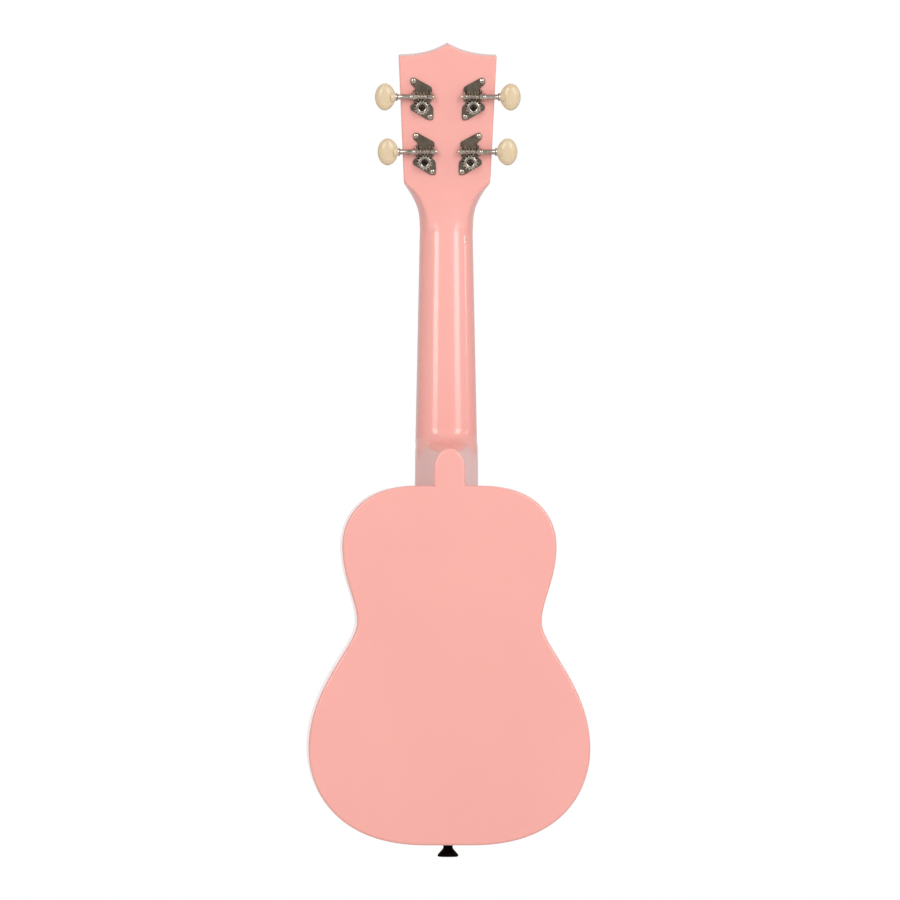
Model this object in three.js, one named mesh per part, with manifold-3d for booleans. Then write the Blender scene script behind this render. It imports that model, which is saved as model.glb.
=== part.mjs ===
// Soprano ukulele with open-gear tuning machines, as an assembly of separate solids. Millimetres.
// Frame: origin on the centre line at the nut, in the plane where the fingerboard lies on the neck.
// +Z runs up the neck to the headstock, +Y is the playing side, and -Y is the back.
// "Left" and "right" are as seen from behind: right is +X.
import * as THREE from "three";
import { mergeVertices } from "three/addons/utils/BufferGeometryUtils.js";
import Module from "manifold-3d";

const wasm = await Module();
wasm.setup();

// ---------------------------------------------------------------- driving dimensions
const GAP = 0.3; // between faces that follow each other round a curve, and round a glued piece
const SCALE_LENGTH = 346;
const FRET_COUNT = 12;
const BODY_DEPTH = 60;
const PLATE_THICKNESS = 2;
const SIDE_THICKNESS = 1.8;
const JOINT_Z = -SCALE_LENGTH / 2; // the neck meets the body at the twelfth fret
const TAIL_Z = -409;
const SIDE_SLOT = 5; // the sides stop this far from the centre line, behind the heel
const SOUNDHOLE_RADIUS = 25;
const SOUNDHOLE_Z = -234;

const NUT_HALF_WIDTH = 17.3;
const JOINT_HALF_WIDTH = 20.9;
const NUT_LENGTH = 5;
const NECK_DEPTH_NUT = 13.5;
const NECK_DEPTH_HEEL = 15.5;
const FINGERBOARD_THICKNESS = 4;
const FINGERBOARD_OVERHANG = 8; // onto the soundboard
const HEEL_HALF_WIDTH = 9.95; // of the cap
const HEEL_LENGTH = 24.4; // of the cap, from the body to its rounded tip
const HEEL_TIP = 13; // of that, the rounded part

const HEAD_TILT = THREE.MathUtils.degToRad(8);
const HEAD_THICKNESS = 12;
const POST_ROWS = [
  { row: "lower", x: 15.1, z: 37.5 },
  { row: "upper", x: 17.0, z: 73.9 },
];

const GEAR_TEETH = 14;
const GEAR_PITCH_RADIUS = 4.7;
const WORM_PITCH_RADIUS = 2.4;
const ADDENDUM = 0.55;
const ROOT_CLEARANCE = 0.2;
const FLANK = Math.tan(THREE.MathUtils.degToRad(20));
const WORM_LIFT = 4.4; // worm axis above the headstock's back
const GEAR_FACE = 2.8;
const WORM_Z = GEAR_PITCH_RADIUS + WORM_PITCH_RADIUS;
const WORM_PITCH = (2 * Math.PI * GEAR_PITCH_RADIUS) / GEAR_TEETH;
const SHAFT_RADIUS = 1.7;
const COLLAR_AT = 16.2; // along the shaft, from the post's axis
const BUTTON_AT = 17.7;
const POST_RADIUS = 3;
const WAIST_RADIUS = 2.6; // of the post, where the string winds
const POST_STAND = 13; // of the post, in front of the headstock
const WINDING_AT = [4.3, 7.7]; // the string's turns, in front of the headstock

const SADDLE_Z = -347;
const SADDLE_TOP = 9.3;
const NUT_SLOT = 5.2; // height of a nut slot's floor
const STRINGS = [
  { name: "string_1", nut: -13.5, saddle: -20.5, diameter: 0.62, row: 0 },
  { name: "string_2", nut: -4.5, saddle: -6.8, diameter: 0.8, row: 1 },
  { name: "string_3", nut: 4.5, saddle: 6.8, diameter: 0.86, row: 1 },
  { name: "string_4", nut: 13.5, saddle: 20.5, diameter: 0.62, row: 0 },
];

// ---------------------------------------------------------------- materials
const paint = (color, roughness, metalness = 0) =>
  new THREE.MeshStandardMaterial({ color, roughness, metalness });
const PINK = paint(0xf7b1a8, 0.45);
const BARE_WOOD = paint(0xd9bd92, 0.8);
const DARK_WOOD = paint(0x3b251a, 0.6);
const NICKEL = paint(0xb8aa98, 0.25, 1);
const DARK_STEEL = paint(0x2a2420, 0.4, 1);
const CREAM = paint(0xe6d2ab, 0.3);
const IVORY = paint(0xeee7d6, 0.45);
const BLACK = paint(0x0c0a0a, 0.35);
const NYLON = paint(0xf2efe8, 0.2);

// ---------------------------------------------------------------- solids
const v2 = (x, y) => new THREE.Vector2(x, y);
const v3 = (x, y, z) => new THREE.Vector3(x, y, z);

function signedVolume(position, index) {
  const [a, b, c] = [v3(), v3(), v3()];
  let sum = 0;
  for (let i = 0; i < index.length; i += 3) {
    a.fromBufferAttribute(position, index[i]);
    b.fromBufferAttribute(position, index[i + 1]);
    c.fromBufferAttribute(position, index[i + 2]);
    sum += a.dot(b.cross(c));
  }
  return sum;
}

// A closed geometry as a manifold-3d solid with its faces pointing out.
function solidOf(geometry) {
  const bare = geometry.clone();
  bare.deleteAttribute("normal");
  bare.deleteAttribute("uv");
  const merged = mergeVertices(bare, 1e-4);
  const triVerts = new Uint32Array(merged.index.array);
  if (signedVolume(merged.attributes.position, triVerts) < 0) triVerts.reverse();
  const vertProperties = new Float32Array(merged.attributes.position.array);
  return new wasm.Manifold(new wasm.Mesh({ numProp: 3, vertProperties, triVerts }));
}

function geometryOf(solid) {
  const { vertProperties, triVerts } = solid.getMesh();
  const geometry = new THREE.BufferGeometry();
  geometry.setAttribute("position", new THREE.BufferAttribute(vertProperties, 3));
  geometry.setIndex(new THREE.BufferAttribute(triVerts, 1));
  const flat = geometry.toNonIndexed();
  flat.computeVertexNormals();
  return flat;
}

const join = (...parts) => parts.map(solidOf).reduce((sum, part) => sum.add(part));
const cut = (solid, ...tools) =>
  tools.map(solidOf).reduce((rest, tool) => rest.subtract(tool), solid);

// A shape drawn in X and Z, with its front face at y = front, reaching back by depth.
function slab(shape, front, depth, steps = 1) {
  const geometry = new THREE.ExtrudeGeometry(shape, { depth, steps, bevelEnabled: false });
  return geometry.rotateX(Math.PI / 2).translate(0, front, 0);
}

function box([x0, x1], [y0, y1], [z0, z1]) {
  const geometry = new THREE.BoxGeometry(x1 - x0, y1 - y0, z1 - z0);
  return geometry.translate((x0 + x1) / 2, (y0 + y1) / 2, (z0 + z1) / 2);
}

// A solid of revolution about Y; profile holds [radius, y] pairs and is closed on the axis or on itself.
const turned = (profile, segments = 14) =>
  new THREE.LatheGeometry(
    profile.map(([r, y]) => v2(r, y)),
    segments,
  );
const rod = (radius, y0, y1, segments = 14) =>
  turned([[0, y0], [radius, y0], [radius, y1], [0, y1]], segments);

// Rings of equal length, joined in order and capped at both ends; the end rings are convex.
function loft(rings) {
  const count = rings[0].length;
  const positions = rings.flat().flatMap((p) => [p.x, p.y, p.z]);
  const index = [];
  for (let i = 0; i + 1 < rings.length; i++)
    for (let j = 0; j < count; j++) {
      const [a, b] = [i * count + j, i * count + ((j + 1) % count)];
      index.push(a, b, b + count, a, b + count, a + count);
    }
  const last = (rings.length - 1) * count;
  for (let j = 1; j + 1 < count; j++) {
    index.push(0, j + 1, j);
    index.push(last, last + j, last + j + 1);
  }
  const geometry = new THREE.BufferGeometry();
  geometry.setAttribute("position", new THREE.Float32BufferAttribute(positions, 3));
  geometry.setIndex(index);
  return geometry;
}

// ---------------------------------------------------------------- body outline
// One half of the body, in X and Z, from the neck joint to the tail: a short flat, the upper bout,
// the waist, the lower bout and a short flat again.
const UPPER_BOUT = [70.3, -212.4];
const WAIST = [60.6, -262.6];
const LOWER_BOUT = [92.5, -345.9];
const TOP_FLAT = 20.8;
const TAIL_FLAT = 15.2;
const BODY_CURVES = [
  [[TOP_FLAT, JOINT_Z], [60.2, JOINT_Z], [UPPER_BOUT[0], -196.4], UPPER_BOUT, 8],
  [UPPER_BOUT, [UPPER_BOUT[0], -235.1], [WAIST[0], -247.9], WAIST, 6],
  [WAIST, [WAIST[0], -278.4], [LOWER_BOUT[0], -304.5], LOWER_BOUT, 8],
  [LOWER_BOUT, [LOWER_BOUT[0], -369.9], [77.2, TAIL_Z], [TAIL_FLAT, TAIL_Z], 11],
];

function halfOutline() {
  const points = [v2(TOP_FLAT, JOINT_Z)];
  for (const [a, b, c, d, steps] of BODY_CURVES) {
    const curve = new THREE.CubicBezierCurve(v2(...a), v2(...b), v2(...c), v2(...d));
    points.push(...curve.getPoints(steps).slice(1));
  }
  return points;
}

// The half outline moved inwards by a distance, each point along its own normal.
function inset(points, distance) {
  return points.map((p, i) => {
    const before = points[i - 1] ?? v2(-p.x, p.y);
    const after = points[i + 1] ?? v2(-p.x, p.y);
    const along = after.clone().sub(before).normalize();
    return v2(p.x + along.y * distance, p.y - along.x * distance);
  });
}

const HALF = halfOutline();
const mirrored = (points) => points.map((p) => v2(-p.x, p.y)).reverse();
const bodyShape = () => new THREE.Shape([...HALF, ...mirrored(HALF)]);

// Half the body's width inside the sides, at a height.
function innerHalfWidth(z) {
  const inner = inset(HALF, SIDE_THICKNESS);
  const i = inner.findIndex((p) => p.y < z);
  const t = (z - inner[i - 1].y) / (inner[i].y - inner[i - 1].y);
  return THREE.MathUtils.lerp(inner[i - 1].x, inner[i].x, t);
}

// ---------------------------------------------------------------- scene graph
const ukulele = new THREE.Group();
function add(name, shape, material, parent = ukulele) {
  const solid = shape.isBufferGeometry ? solidOf(shape) : shape;
  const mesh = new THREE.Mesh(geometryOf(solid), material);
  mesh.name = name;
  parent.add(mesh);
  return mesh;
}

// ---------------------------------------------------------------- body
const BACK_Y = -BODY_DEPTH;
const INNER_FRONT = -PLATE_THICKNESS;
const INNER_BACK = BACK_Y + PLATE_THICKNESS;
const STRAP_Y = -BODY_DEPTH / 2;
const STRAP_HOLE = 1.8;
const DOWEL_RADIUS = 4;
const DOWEL_Y = { upper: -16, lower: -38 };
const DOWEL_Z = [JOINT_Z - 12, JOINT_Z + 14];

const zRod = (radius, y, [z0, z1], segments = 14) =>
  rod(radius, z0, z1, segments).rotateX(Math.PI / 2).translate(0, y, 0);

function addPlates() {
  const front = bodyShape();
  const hole = new THREE.Path();
  hole.absarc(0, SOUNDHOLE_Z, SOUNDHOLE_RADIUS, 0, 2 * Math.PI);
  front.holes.push(new THREE.Path(hole.getPoints(14).slice(1)));
  add("soundboard", slab(front, 0, PLATE_THICKNESS), PINK);
  add("back_plate", slab(bodyShape(), INNER_BACK, PLATE_THICKNESS), PINK);
}

// A bent side reaches from the slot behind the heel to the centre of the tail.
function addSides() {
  const outer = [v2(SIDE_SLOT, JOINT_Z), ...HALF, v2(0, TAIL_Z)];
  const inner = inset(HALF, SIDE_THICKNESS);
  inner.unshift(v2(SIDE_SLOT, JOINT_Z - SIDE_THICKNESS));
  inner.push(v2(0, TAIL_Z + SIDE_THICKNESS));
  const strip = [...outer, ...inner.reverse()];
  const strapHole = zRod(STRAP_HOLE, STRAP_Y, [TAIL_Z - 5, TAIL_Z + 5], 12);
  for (const [name, sign] of [["left", -1], ["right", 1]]) {
    const shape = new THREE.Shape(strip.map((p) => v2(sign * p.x, p.y)));
    const side = slab(shape, INNER_FRONT, INNER_FRONT - INNER_BACK);
    add("side_" + name, cut(solidOf(side), strapHole), PINK);
  }
}

const NECK_BLOCK = { half: 21, length: 18 };
const TAIL_BLOCK = { half: 15, length: 10 };
function addBlocks() {
  const span = [INNER_BACK + GAP, INNER_FRONT - GAP];
  const top = JOINT_Z - SIDE_THICKNESS - GAP;
  const bottom = TAIL_Z + SIDE_THICKNESS + GAP;
  const neckBlock = box([-NECK_BLOCK.half, NECK_BLOCK.half], span, [top - NECK_BLOCK.length, top]);
  const dowelHoles = Object.values(DOWEL_Y).map((y) =>
    zRod(DOWEL_RADIUS + GAP, y, [DOWEL_Z[0] - GAP, top + 1]),
  );
  add("neck_block", cut(solidOf(neckBlock), ...dowelHoles), BARE_WOOD);
  const tailBlock = box([-TAIL_BLOCK.half, TAIL_BLOCK.half], span, [bottom, bottom + TAIL_BLOCK.length]);
  const screwHole = zRod(STRAP_HOLE, STRAP_Y, [bottom - 1, bottom + TAIL_BLOCK.length + 1], 12);
  add("tail_block", cut(solidOf(tailBlock), screwHole), BARE_WOOD);
  for (const [name, y] of Object.entries(DOWEL_Y))
    add("neck_dowel_" + name, zRod(DOWEL_RADIUS, y, DOWEL_Z), BARE_WOOD);
}

// Linings are triangular strips glued in the corner between a side and a plate, between the blocks.
const LINING = { wide: 4.5, thin: 1.2, tall: 5 };
function addLinings() {
  const against = inset(HALF, SIDE_THICKNESS + GAP);
  const wide = inset(HALF, SIDE_THICKNESS + GAP + LINING.wide);
  const thin = inset(HALF, SIDE_THICKNESS + GAP + LINING.thin);
  const clear = (i) => {
    const block = HALF[i].y > WAIST[1] ? NECK_BLOCK : TAIL_BLOCK;
    return Math.min(against[i].x, wide[i].x) > block.half + GAP;
  };
  const stations = HALF.map((_, i) => i).filter(clear);
  const corners = { front: [INNER_FRONT, -LINING.tall], back: [INNER_BACK, LINING.tall] };
  for (const [plate, [y, reach]] of Object.entries(corners))
    for (const [name, sign] of [["left", -1], ["right", 1]]) {
      const rings = stations.map((i) => [
        v3(sign * against[i].x, y, against[i].y),
        v3(sign * wide[i].x, y, wide[i].y),
        v3(sign * thin[i].x, y + reach, thin[i].y),
        v3(sign * against[i].x, y + reach, against[i].y),
      ]);
      add(`${plate}_lining_${name}`, solidOf(loft(rings)), BARE_WOOD);
    }
}

// Each brace spans between the linings, glued to its plate; reach is its height, away from the plate.
const BRACE_WIDTH = 6;
const BRACES = [
  { name: "top_brace_upper", z: -200, plate: INNER_FRONT, reach: -9 },
  { name: "top_brace_lower", z: -267, plate: INNER_FRONT, reach: -9 },
  { name: "back_brace_upper", z: -222, plate: INNER_BACK, reach: 8 },
  { name: "back_brace_lower", z: -335, plate: INNER_BACK, reach: 8 },
];
function addBraces() {
  for (const { name, z, plate, reach } of BRACES) {
    const ends = [z - BRACE_WIDTH / 2, z + BRACE_WIDTH / 2].map(innerHalfWidth);
    const half = Math.min(...ends) - LINING.wide - 3 * GAP;
    const scallop = half - 12; // the ends thin out from here
    const profile = [
      [-half, 0], [half, 0], [half, 0.35], [scallop, 1], [-scallop, 1], [-half, 0.35],
    ];
    const ring = (at) => profile.map(([x, share]) => v3(x, plate + share * reach, at));
    add(name, solidOf(loft([ring(z - BRACE_WIDTH / 2), ring(z + BRACE_WIDTH / 2)])), BARE_WOOD);
  }
  const bridgePlate = box([-34, 34], [INNER_FRONT - 1.6, INNER_FRONT], [SADDLE_Z - 17, SADDLE_Z + 9]);
  add("bridge_plate", bridgePlate, BARE_WOOD);
}

// ---------------------------------------------------------------- bridge and saddle
const BRIDGE = { half: 38, block: 29, wing: 3.2, height: 7.4, front: SADDLE_Z + 5.5, rear: SADDLE_Z - 12.5 };
const SADDLE = { half: 22, thickness: 2, foot: 3.2 };
const STRING_SLOT = { width: 1.6, floor: 2.4, from: SADDLE_Z - 4.5 };
function addBridge() {
  const { half, block, wing, height, front, rear } = BRIDGE;
  const outline = [
    [-half, 0], [half, 0], [half, wing], [block + 4, wing + 0.3], [block, height],
    [-block, height], [-block - 4, wing + 0.3], [-half, wing],
  ];
  const ring = (z) => outline.map(([x, y]) => v3(x, y, z));
  const slotHalf = SADDLE.thickness / 2 + GAP;
  const saddleSlot = box(
    [-SADDLE.half - GAP, SADDLE.half + GAP],
    [SADDLE.foot - GAP, height + 1],
    [SADDLE_Z - slotHalf, SADDLE_Z + slotHalf],
  );
  const stringSlots = STRINGS.map(({ saddle }) =>
    box(
      [saddle - STRING_SLOT.width / 2, saddle + STRING_SLOT.width / 2],
      [STRING_SLOT.floor, height + 1],
      [rear - 1, STRING_SLOT.from],
    ),
  );
  add("bridge", cut(join(loft([ring(rear), ring(front)])), saddleSlot, ...stringSlots), DARK_WOOD);
  const saddle = box(
    [-SADDLE.half, SADDLE.half],
    [SADDLE.foot, SADDLE_TOP],
    [SADDLE_Z - SADDLE.thickness / 2, SADDLE_Z + SADDLE.thickness / 2],
  );
  add("saddle", saddle, IVORY);
}

// ---------------------------------------------------------------- neck
const halfWidthAt = (z) =>
  THREE.MathUtils.mapLinear(z, 0, JOINT_Z, NUT_HALF_WIDTH, JOINT_HALF_WIDTH);
const NECK_END = JOINT_Z + GAP;

// The neck's section is flat towards the fingerboard and a rounded D behind.
function neckRing(z, segments = 14) {
  const half = halfWidthAt(Math.min(z, 0));
  const depth = THREE.MathUtils.mapLinear(z, 0, JOINT_Z, NECK_DEPTH_NUT, NECK_DEPTH_HEEL);
  const power = 2 / 2.3; // a little fuller than an ellipse
  const ring = [];
  for (let i = 0; i <= segments; i++) {
    const angle = (Math.PI * i) / segments;
    const [c, s] = [Math.cos(angle), Math.sin(angle)];
    ring.push(v3(half * Math.sign(c) * Math.abs(c) ** power, -depth * Math.abs(s) ** power, z));
  }
  return ring;
}

// The heel is a tongue with a rounded tip. It widens and lengthens from its cap towards the neck.
function heelRing(y, share) {
  const half = THREE.MathUtils.lerp(HEEL_HALF_WIDTH, 20, share ** 1.3);
  const tip = THREE.MathUtils.lerp(HEEL_TIP, 15, share);
  const length = HEEL_LENGTH + 1.5 * share + 9 * share ** 6;
  const ring = [v3(half, y, NECK_END), v3(-half, y, NECK_END)];
  const steps = 10;
  for (let i = steps; i >= 0; i--) {
    const angle = (Math.PI * i) / steps;
    ring.push(v3(half * Math.cos(angle), y, JOINT_Z + length - tip + tip * Math.sin(angle)));
  }
  return ring;
}

// The headstock's outline in its own tilted plane: a flare out of the neck, straight sides that
// widen a little, and a top that dips from each corner and rises to a point in the middle.
const HEAD_CORNER = [32.3, 107.5];
const HEAD_PEAK = 115.4;
function headShape() {
  const shape = new THREE.Shape();
  shape.moveTo(-NUT_HALF_WIDTH, -3);
  shape.lineTo(NUT_HALF_WIDTH, -3);
  shape.bezierCurveTo(18.2, 5, 22, 11.5, 28.45, 22.5);
  shape.lineTo(...HEAD_CORNER);
  shape.bezierCurveTo(20, 107.5, 10, 109.5, 0, HEAD_PEAK);
  shape.bezierCurveTo(-10, 109.5, -20, 107.5, -HEAD_CORNER[0], HEAD_CORNER[1]);
  shape.lineTo(-28.45, 22.5);
  shape.bezierCurveTo(-22, 11.5, -18.2, 5, -NUT_HALF_WIDTH, -3);
  return shape;
}

const head = new THREE.Group(); // the headstock's frame: its front face is y = 0
head.position.z = NUT_LENGTH;
head.rotation.x = HEAD_TILT;
head.updateMatrix();
ukulele.add(head);

const POST_HOLE = 4.6;
function addNeck() {
  const stations = [NECK_END, -140, -100, -50, 0, NUT_LENGTH + 6];
  const shaft = loft(stations.map((z) => neckRing(z)));
  const layers = 7;
  const depths = [...Array(layers + 1).keys()].map((i) => i / layers);
  const heel = loft(depths.map((share) => heelRing(BACK_Y + share * (BODY_DEPTH - 6), share)));
  const headPlate = new THREE.ExtrudeGeometry(headShape(), {
    depth: HEAD_THICKNESS, bevelEnabled: false, curveSegments: 6,
  });
  headPlate.rotateX(Math.PI / 2).applyMatrix4(head.matrix);
  const frontOfHead = box([-40, 40], [0, 20], [-10, 150]).applyMatrix4(head.matrix);
  const holes = POST_ROWS.flatMap(({ x, z }) =>
    [-x, x].map((at) => rod(POST_HOLE, -20, 8).translate(at, 0, z).applyMatrix4(head.matrix)),
  );
  const dowelHoles = Object.values(DOWEL_Y).map((y) =>
    zRod(DOWEL_RADIUS + GAP, y, [NECK_END - 1, DOWEL_Z[1] + GAP]),
  );
  const overNut = box([-30, 30], [0, 10], [-20, NUT_LENGTH]);
  const blank = join(shaft, heel, headPlate);
  add("neck", cut(blank, frontOfHead, overNut, ...holes, ...dowelHoles), PINK);
}

// ---------------------------------------------------------------- fingerboard and nut
const FRET = { crown: 1, width: 2, inset: 0.4 };
const fretZ = (n) => -SCALE_LENGTH * (1 - 2 ** (-n / 12));
function addFingerboard() {
  const end = JOINT_Z - FINGERBOARD_OVERHANG;
  const board = new THREE.Shape([
    v2(-halfWidthAt(0), 0), v2(halfWidthAt(0), 0), v2(halfWidthAt(end), end), v2(-halfWidthAt(end), end),
  ]);
  const frets = [...Array(FRET_COUNT).keys()].map((i) => {
    const z = fretZ(i + 1);
    const half = halfWidthAt(z) - FRET.inset;
    const [low, high] = [FINGERBOARD_THICKNESS - 1, FINGERBOARD_THICKNESS + FRET.crown];
    const section = [
      [-0.5, low], [FRET.width / -2, high - 0.6], [-0.4, high],
      [0.4, high], [FRET.width / 2, high - 0.6], [0.5, low],
    ];
    return loft([-half, half].map((x) => section.map(([dz, y]) => v3(x, y, z + dz))));
  });
  const slabbed = slab(board, FINGERBOARD_THICKNESS, FINGERBOARD_THICKNESS);
  add("fingerboard", join(slabbed, ...frets), DARK_WOOD);
}

function addNut() {
  const block = box([-NUT_HALF_WIDTH, NUT_HALF_WIDTH], [0, NUT_SLOT + 0.7], [0, NUT_LENGTH]);
  const slots = STRINGS.map(({ nut, diameter }) => {
    const half = diameter / 2 + 0.2;
    return box([nut - half, nut + half], [NUT_SLOT, NUT_SLOT + 2], [-1, NUT_LENGTH + 1]);
  });
  add("nut", cut(solidOf(block), ...slots), IVORY);
}

// ---------------------------------------------------------------- strap button
const STRAP_END_Z = TAIL_Z - 8.5;
function addStrapButton() {
  const profile = [
    [STRAP_HOLE, -0.2], [3.85, -0.2], [3.1, -1.1], [3.1, -1.9], [6.9, -7.2], [6.7, -8.1],
    [6.0, -8.5], [3.5, -8.5], [3.3, -6.6], [STRAP_HOLE, -6.6],
  ];
  const button = turned([...profile, profile[0]], 18).rotateX(Math.PI / 2);
  add("strap_button", button.translate(0, STRAP_Y, TAIL_Z), BLACK);
  const screw = turned([[0, 11], [1.4, 9], [1.4, -6.9], [3, -6.9], [2.6, -8.1], [0, -8.3]], 12);
  const slot = box([-4, 4], [-9, -7.7], [-0.35, 0.35]);
  const cutScrew = geometryOf(cut(solidOf(screw), slot)).rotateX(Math.PI / 2);
  add("strap_button_screw", cutScrew.translate(0, STRAP_Y, TAIL_Z), DARK_STEEL);
}

// ---------------------------------------------------------------- tuning machines
// A machine's frame stands on the headstock's back, on the post's axis: +Y points through the
// headstock to the front. "out" runs along the button shaft, away from the centre line.
const PLATE = { thickness: 1, lugs: [-6.6, 4.7], lugThickness: 1, lugTop: 7.2 };
const PLATE_OUTLINE = [
  [7.6, 1.2], [7.6, -1.8], [-4.0, -8.4], [-6.4, -8.8], [-7.5, -7.6], [-7.5, -0.1], [-5.4, 2.6],
  [-6.6, 3.6], [-6.6, 13.2], [4.6, 19.3], [6.6, 19.3], [7.6, 17.5], [7.2, 14.8], [4.7, 12.8], [4.7, 3],
];
const PLATE_SCREWS = [[5.6, 17.2], [-5.4, -6.4]];
function plateOf(side) {
  const shape = new THREE.Shape(PLATE_OUTLINE.map(([out, z]) => v2(side * out, z)));
  const lugShape = [[3.6, 0.5], [11, 0.5], [9.4, PLATE.lugTop], [5, PLATE.lugTop]];
  const lugs = PLATE.lugs.map((out) =>
    loft(
      [out, out + PLATE.lugThickness].map((at) =>
        lugShape.map(([z, lift]) => v3(side * at, -lift, z)),
      ),
    ),
  );
  const heads = PLATE_SCREWS.map(([out, z]) =>
    turned([[0, -0.5], [2, -0.5], [1.8, -1.4], [0, -2.1]], 10).translate(side * out, 0, z),
  );
  const postHole = rod(POST_RADIUS + GAP, -3, 3);
  const shaftHole = rod(SHAFT_RADIUS + GAP, -9, 9, 12).rotateZ(Math.PI / 2);
  shaftHole.translate(0, -WORM_LIFT, WORM_Z);
  return cut(join(slab(shape, 0, PLATE.thickness), ...lugs, ...heads), postHole, shaftHole);
}

// The worm's thread: a ridge whose section is carried round the shaft, advancing one pitch a turn.
const WORM_TIP = WORM_PITCH_RADIUS + ADDENDUM;
const WORM_ROOT = WORM_Z - GEAR_PITCH_RADIUS - ADDENDUM - ROOT_CLEARANCE;
const THREAD_AT_PITCH = 0.72;
const THREAD_TURNS = 3;
function threadGeometry() {
  const perTurn = 12;
  const halfAt = (radius) => THREAD_AT_PITCH / 2 + (WORM_PITCH_RADIUS - radius) * FLANK;
  const sunk = WORM_ROOT - 0.3;
  const section = [
    [sunk, -halfAt(sunk)], [WORM_TIP, -halfAt(WORM_TIP)], [WORM_TIP, halfAt(WORM_TIP)], [sunk, halfAt(sunk)],
  ];
  const rings = [];
  const steps = perTurn * THREAD_TURNS;
  for (let i = 0; i <= steps; i++) {
    const angle = (2 * Math.PI * (i - steps / 2)) / perTurn;
    const along = (WORM_PITCH * angle) / (2 * Math.PI);
    rings.push(
      section.map(([r, dx]) => v3(along + dx, r * Math.sin(angle), -r * Math.cos(angle))),
    );
  }
  return loft(rings);
}

function wormShaftOf(side) {
  const profile = [
    [0, -7.9], [SHAFT_RADIUS, -7.7], [SHAFT_RADIUS, -4.4], [WORM_ROOT, -4.4],
    [WORM_ROOT, 4.4], [SHAFT_RADIUS, 4.4], [SHAFT_RADIUS, COLLAR_AT], [2.65, COLLAR_AT],
    [2.65, BUTTON_AT - GAP], [1.2, BUTTON_AT - GAP], [1.2, BUTTON_AT + 5], [0, BUTTON_AT + 5],
  ];
  const shaft = turned(profile, 12).rotateZ((-side * Math.PI) / 2);
  return join(shaft, threadGeometry());
}

// The button is an oval pillow on a short neck, with a socket for the shaft's end.
const BUTTON = { length: 13.6, height: 18, thickness: 7.6 };
function buttonOf(side) {
  const pillow = new THREE.SphereGeometry(0.5, 14, 8);
  pillow.scale(BUTTON.length, BUTTON.thickness, BUTTON.height);
  pillow.translate(side * (BUTTON_AT + BUTTON.length / 2), 0, 0);
  const neck = turned([[0, 0], [2.5, 0], [3.2, 2.4], [0, 5]], 12).rotateZ((-side * Math.PI) / 2);
  neck.translate(side * BUTTON_AT, 0, 0);
  const socket = rod(1.2 + GAP, -1, 5 + GAP, 8).rotateZ((-side * Math.PI) / 2);
  return cut(join(pillow, neck), socket.translate(side * BUTTON_AT, 0, 0));
}

// The wheel's teeth are twisted to the worm's lead, and a gap stands under the worm at rest.
const GEAR_ROOT = WORM_Z - WORM_TIP - ROOT_CLEARANCE;
const GEAR_TIP = GEAR_PITCH_RADIUS + ADDENDUM;
const TOOTH_AT_PITCH = 0.85;
const GEAR_BORE = 2.2;
const RECESS = { radius: 2.75, depth: 1.1 };
function gearGeometry() {
  const halfAngle = (r) => (TOOTH_AT_PITCH / 2 + (GEAR_PITCH_RADIUS - r) * FLANK) / r;
  const outline = [];
  for (let k = 0; k < GEAR_TEETH; k++) {
    const middle = Math.PI / 2 + ((k + 0.5) * 2 * Math.PI) / GEAR_TEETH;
    for (const [r, sign] of [[GEAR_ROOT, -1], [GEAR_TIP, -1], [GEAR_TIP, 1], [GEAR_ROOT, 1]]) {
      const angle = middle + sign * halfAngle(r);
      outline.push(v2(r * Math.cos(angle), r * Math.sin(angle)));
    }
  }
  const front = -WORM_LIFT + GEAR_FACE / 2;
  const wheel = slab(new THREE.Shape(outline), front, GEAR_FACE);
  const lead = WORM_PITCH / (2 * Math.PI * WORM_PITCH_RADIUS) / GEAR_PITCH_RADIUS;
  const position = wheel.attributes.position;
  for (let i = 0; i < position.count; i++) {
    const p = v3().fromBufferAttribute(position, i);
    p.applyAxisAngle(v3(0, 1, 0), (p.y + WORM_LIFT) * lead);
    position.setXYZ(i, p.x, p.y, p.z);
  }
  const outer = front - GEAR_FACE;
  const hub = rod(3.3, -3.2, -PLATE.thickness - GAP);
  const bore = rod(GEAR_BORE, outer + RECESS.depth - 0.1, 0, 12);
  const recess = rod(RECESS.radius, outer - 1, outer + RECESS.depth);
  return cut(join(wheel, hub), bore, recess);
}

const GEAR_OUTER = -WORM_LIFT - GEAR_FACE / 2;
const SCREW_SHANK = 0.9;
function gearScrewGeometry() {
  const seat = GEAR_OUTER + RECESS.depth - GAP;
  const screw = turned(
    [[0, seat - 1.2], [1.6, seat - 1.0], [2.3, seat - 0.4], [2.3, seat], [SCREW_SHANK, seat],
      [SCREW_SHANK, seat + 4.5], [0, seat + 4.5]], 10,
  );
  const slot = box([-3, 3], [seat - 2, seat - 0.8], [-0.3, 0.3]);
  return cut(solidOf(screw), slot);
}

// The post reaches from inside the wheel, through plate, headstock and bushing, to the string.
function postGeometry() {
  const front = HEAD_THICKNESS;
  const back = GEAR_OUTER + RECESS.depth + 0.2;
  const profile = [
    [0, back], [GEAR_BORE - GAP, back], [GEAR_BORE - GAP, -PLATE.thickness - 0.1], [POST_RADIUS, 0.2],
    [POST_RADIUS, front + 3], [WAIST_RADIUS, front + 4], [WAIST_RADIUS, front + 10],
    [POST_RADIUS, front + 11], [POST_RADIUS, front + POST_STAND - 0.5],
    [POST_RADIUS - 0.6, front + POST_STAND], [0, front + POST_STAND],
  ];
  const stringHole = rod(0.75, -5, 5, 8).rotateZ(Math.PI / 2).translate(0, front + 8.7, 0);
  const screwHole = rod(SCREW_SHANK + GAP, back - 1, back + 5, 10);
  return cut(solidOf(turned(profile)), stringHole, screwHole);
}

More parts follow.
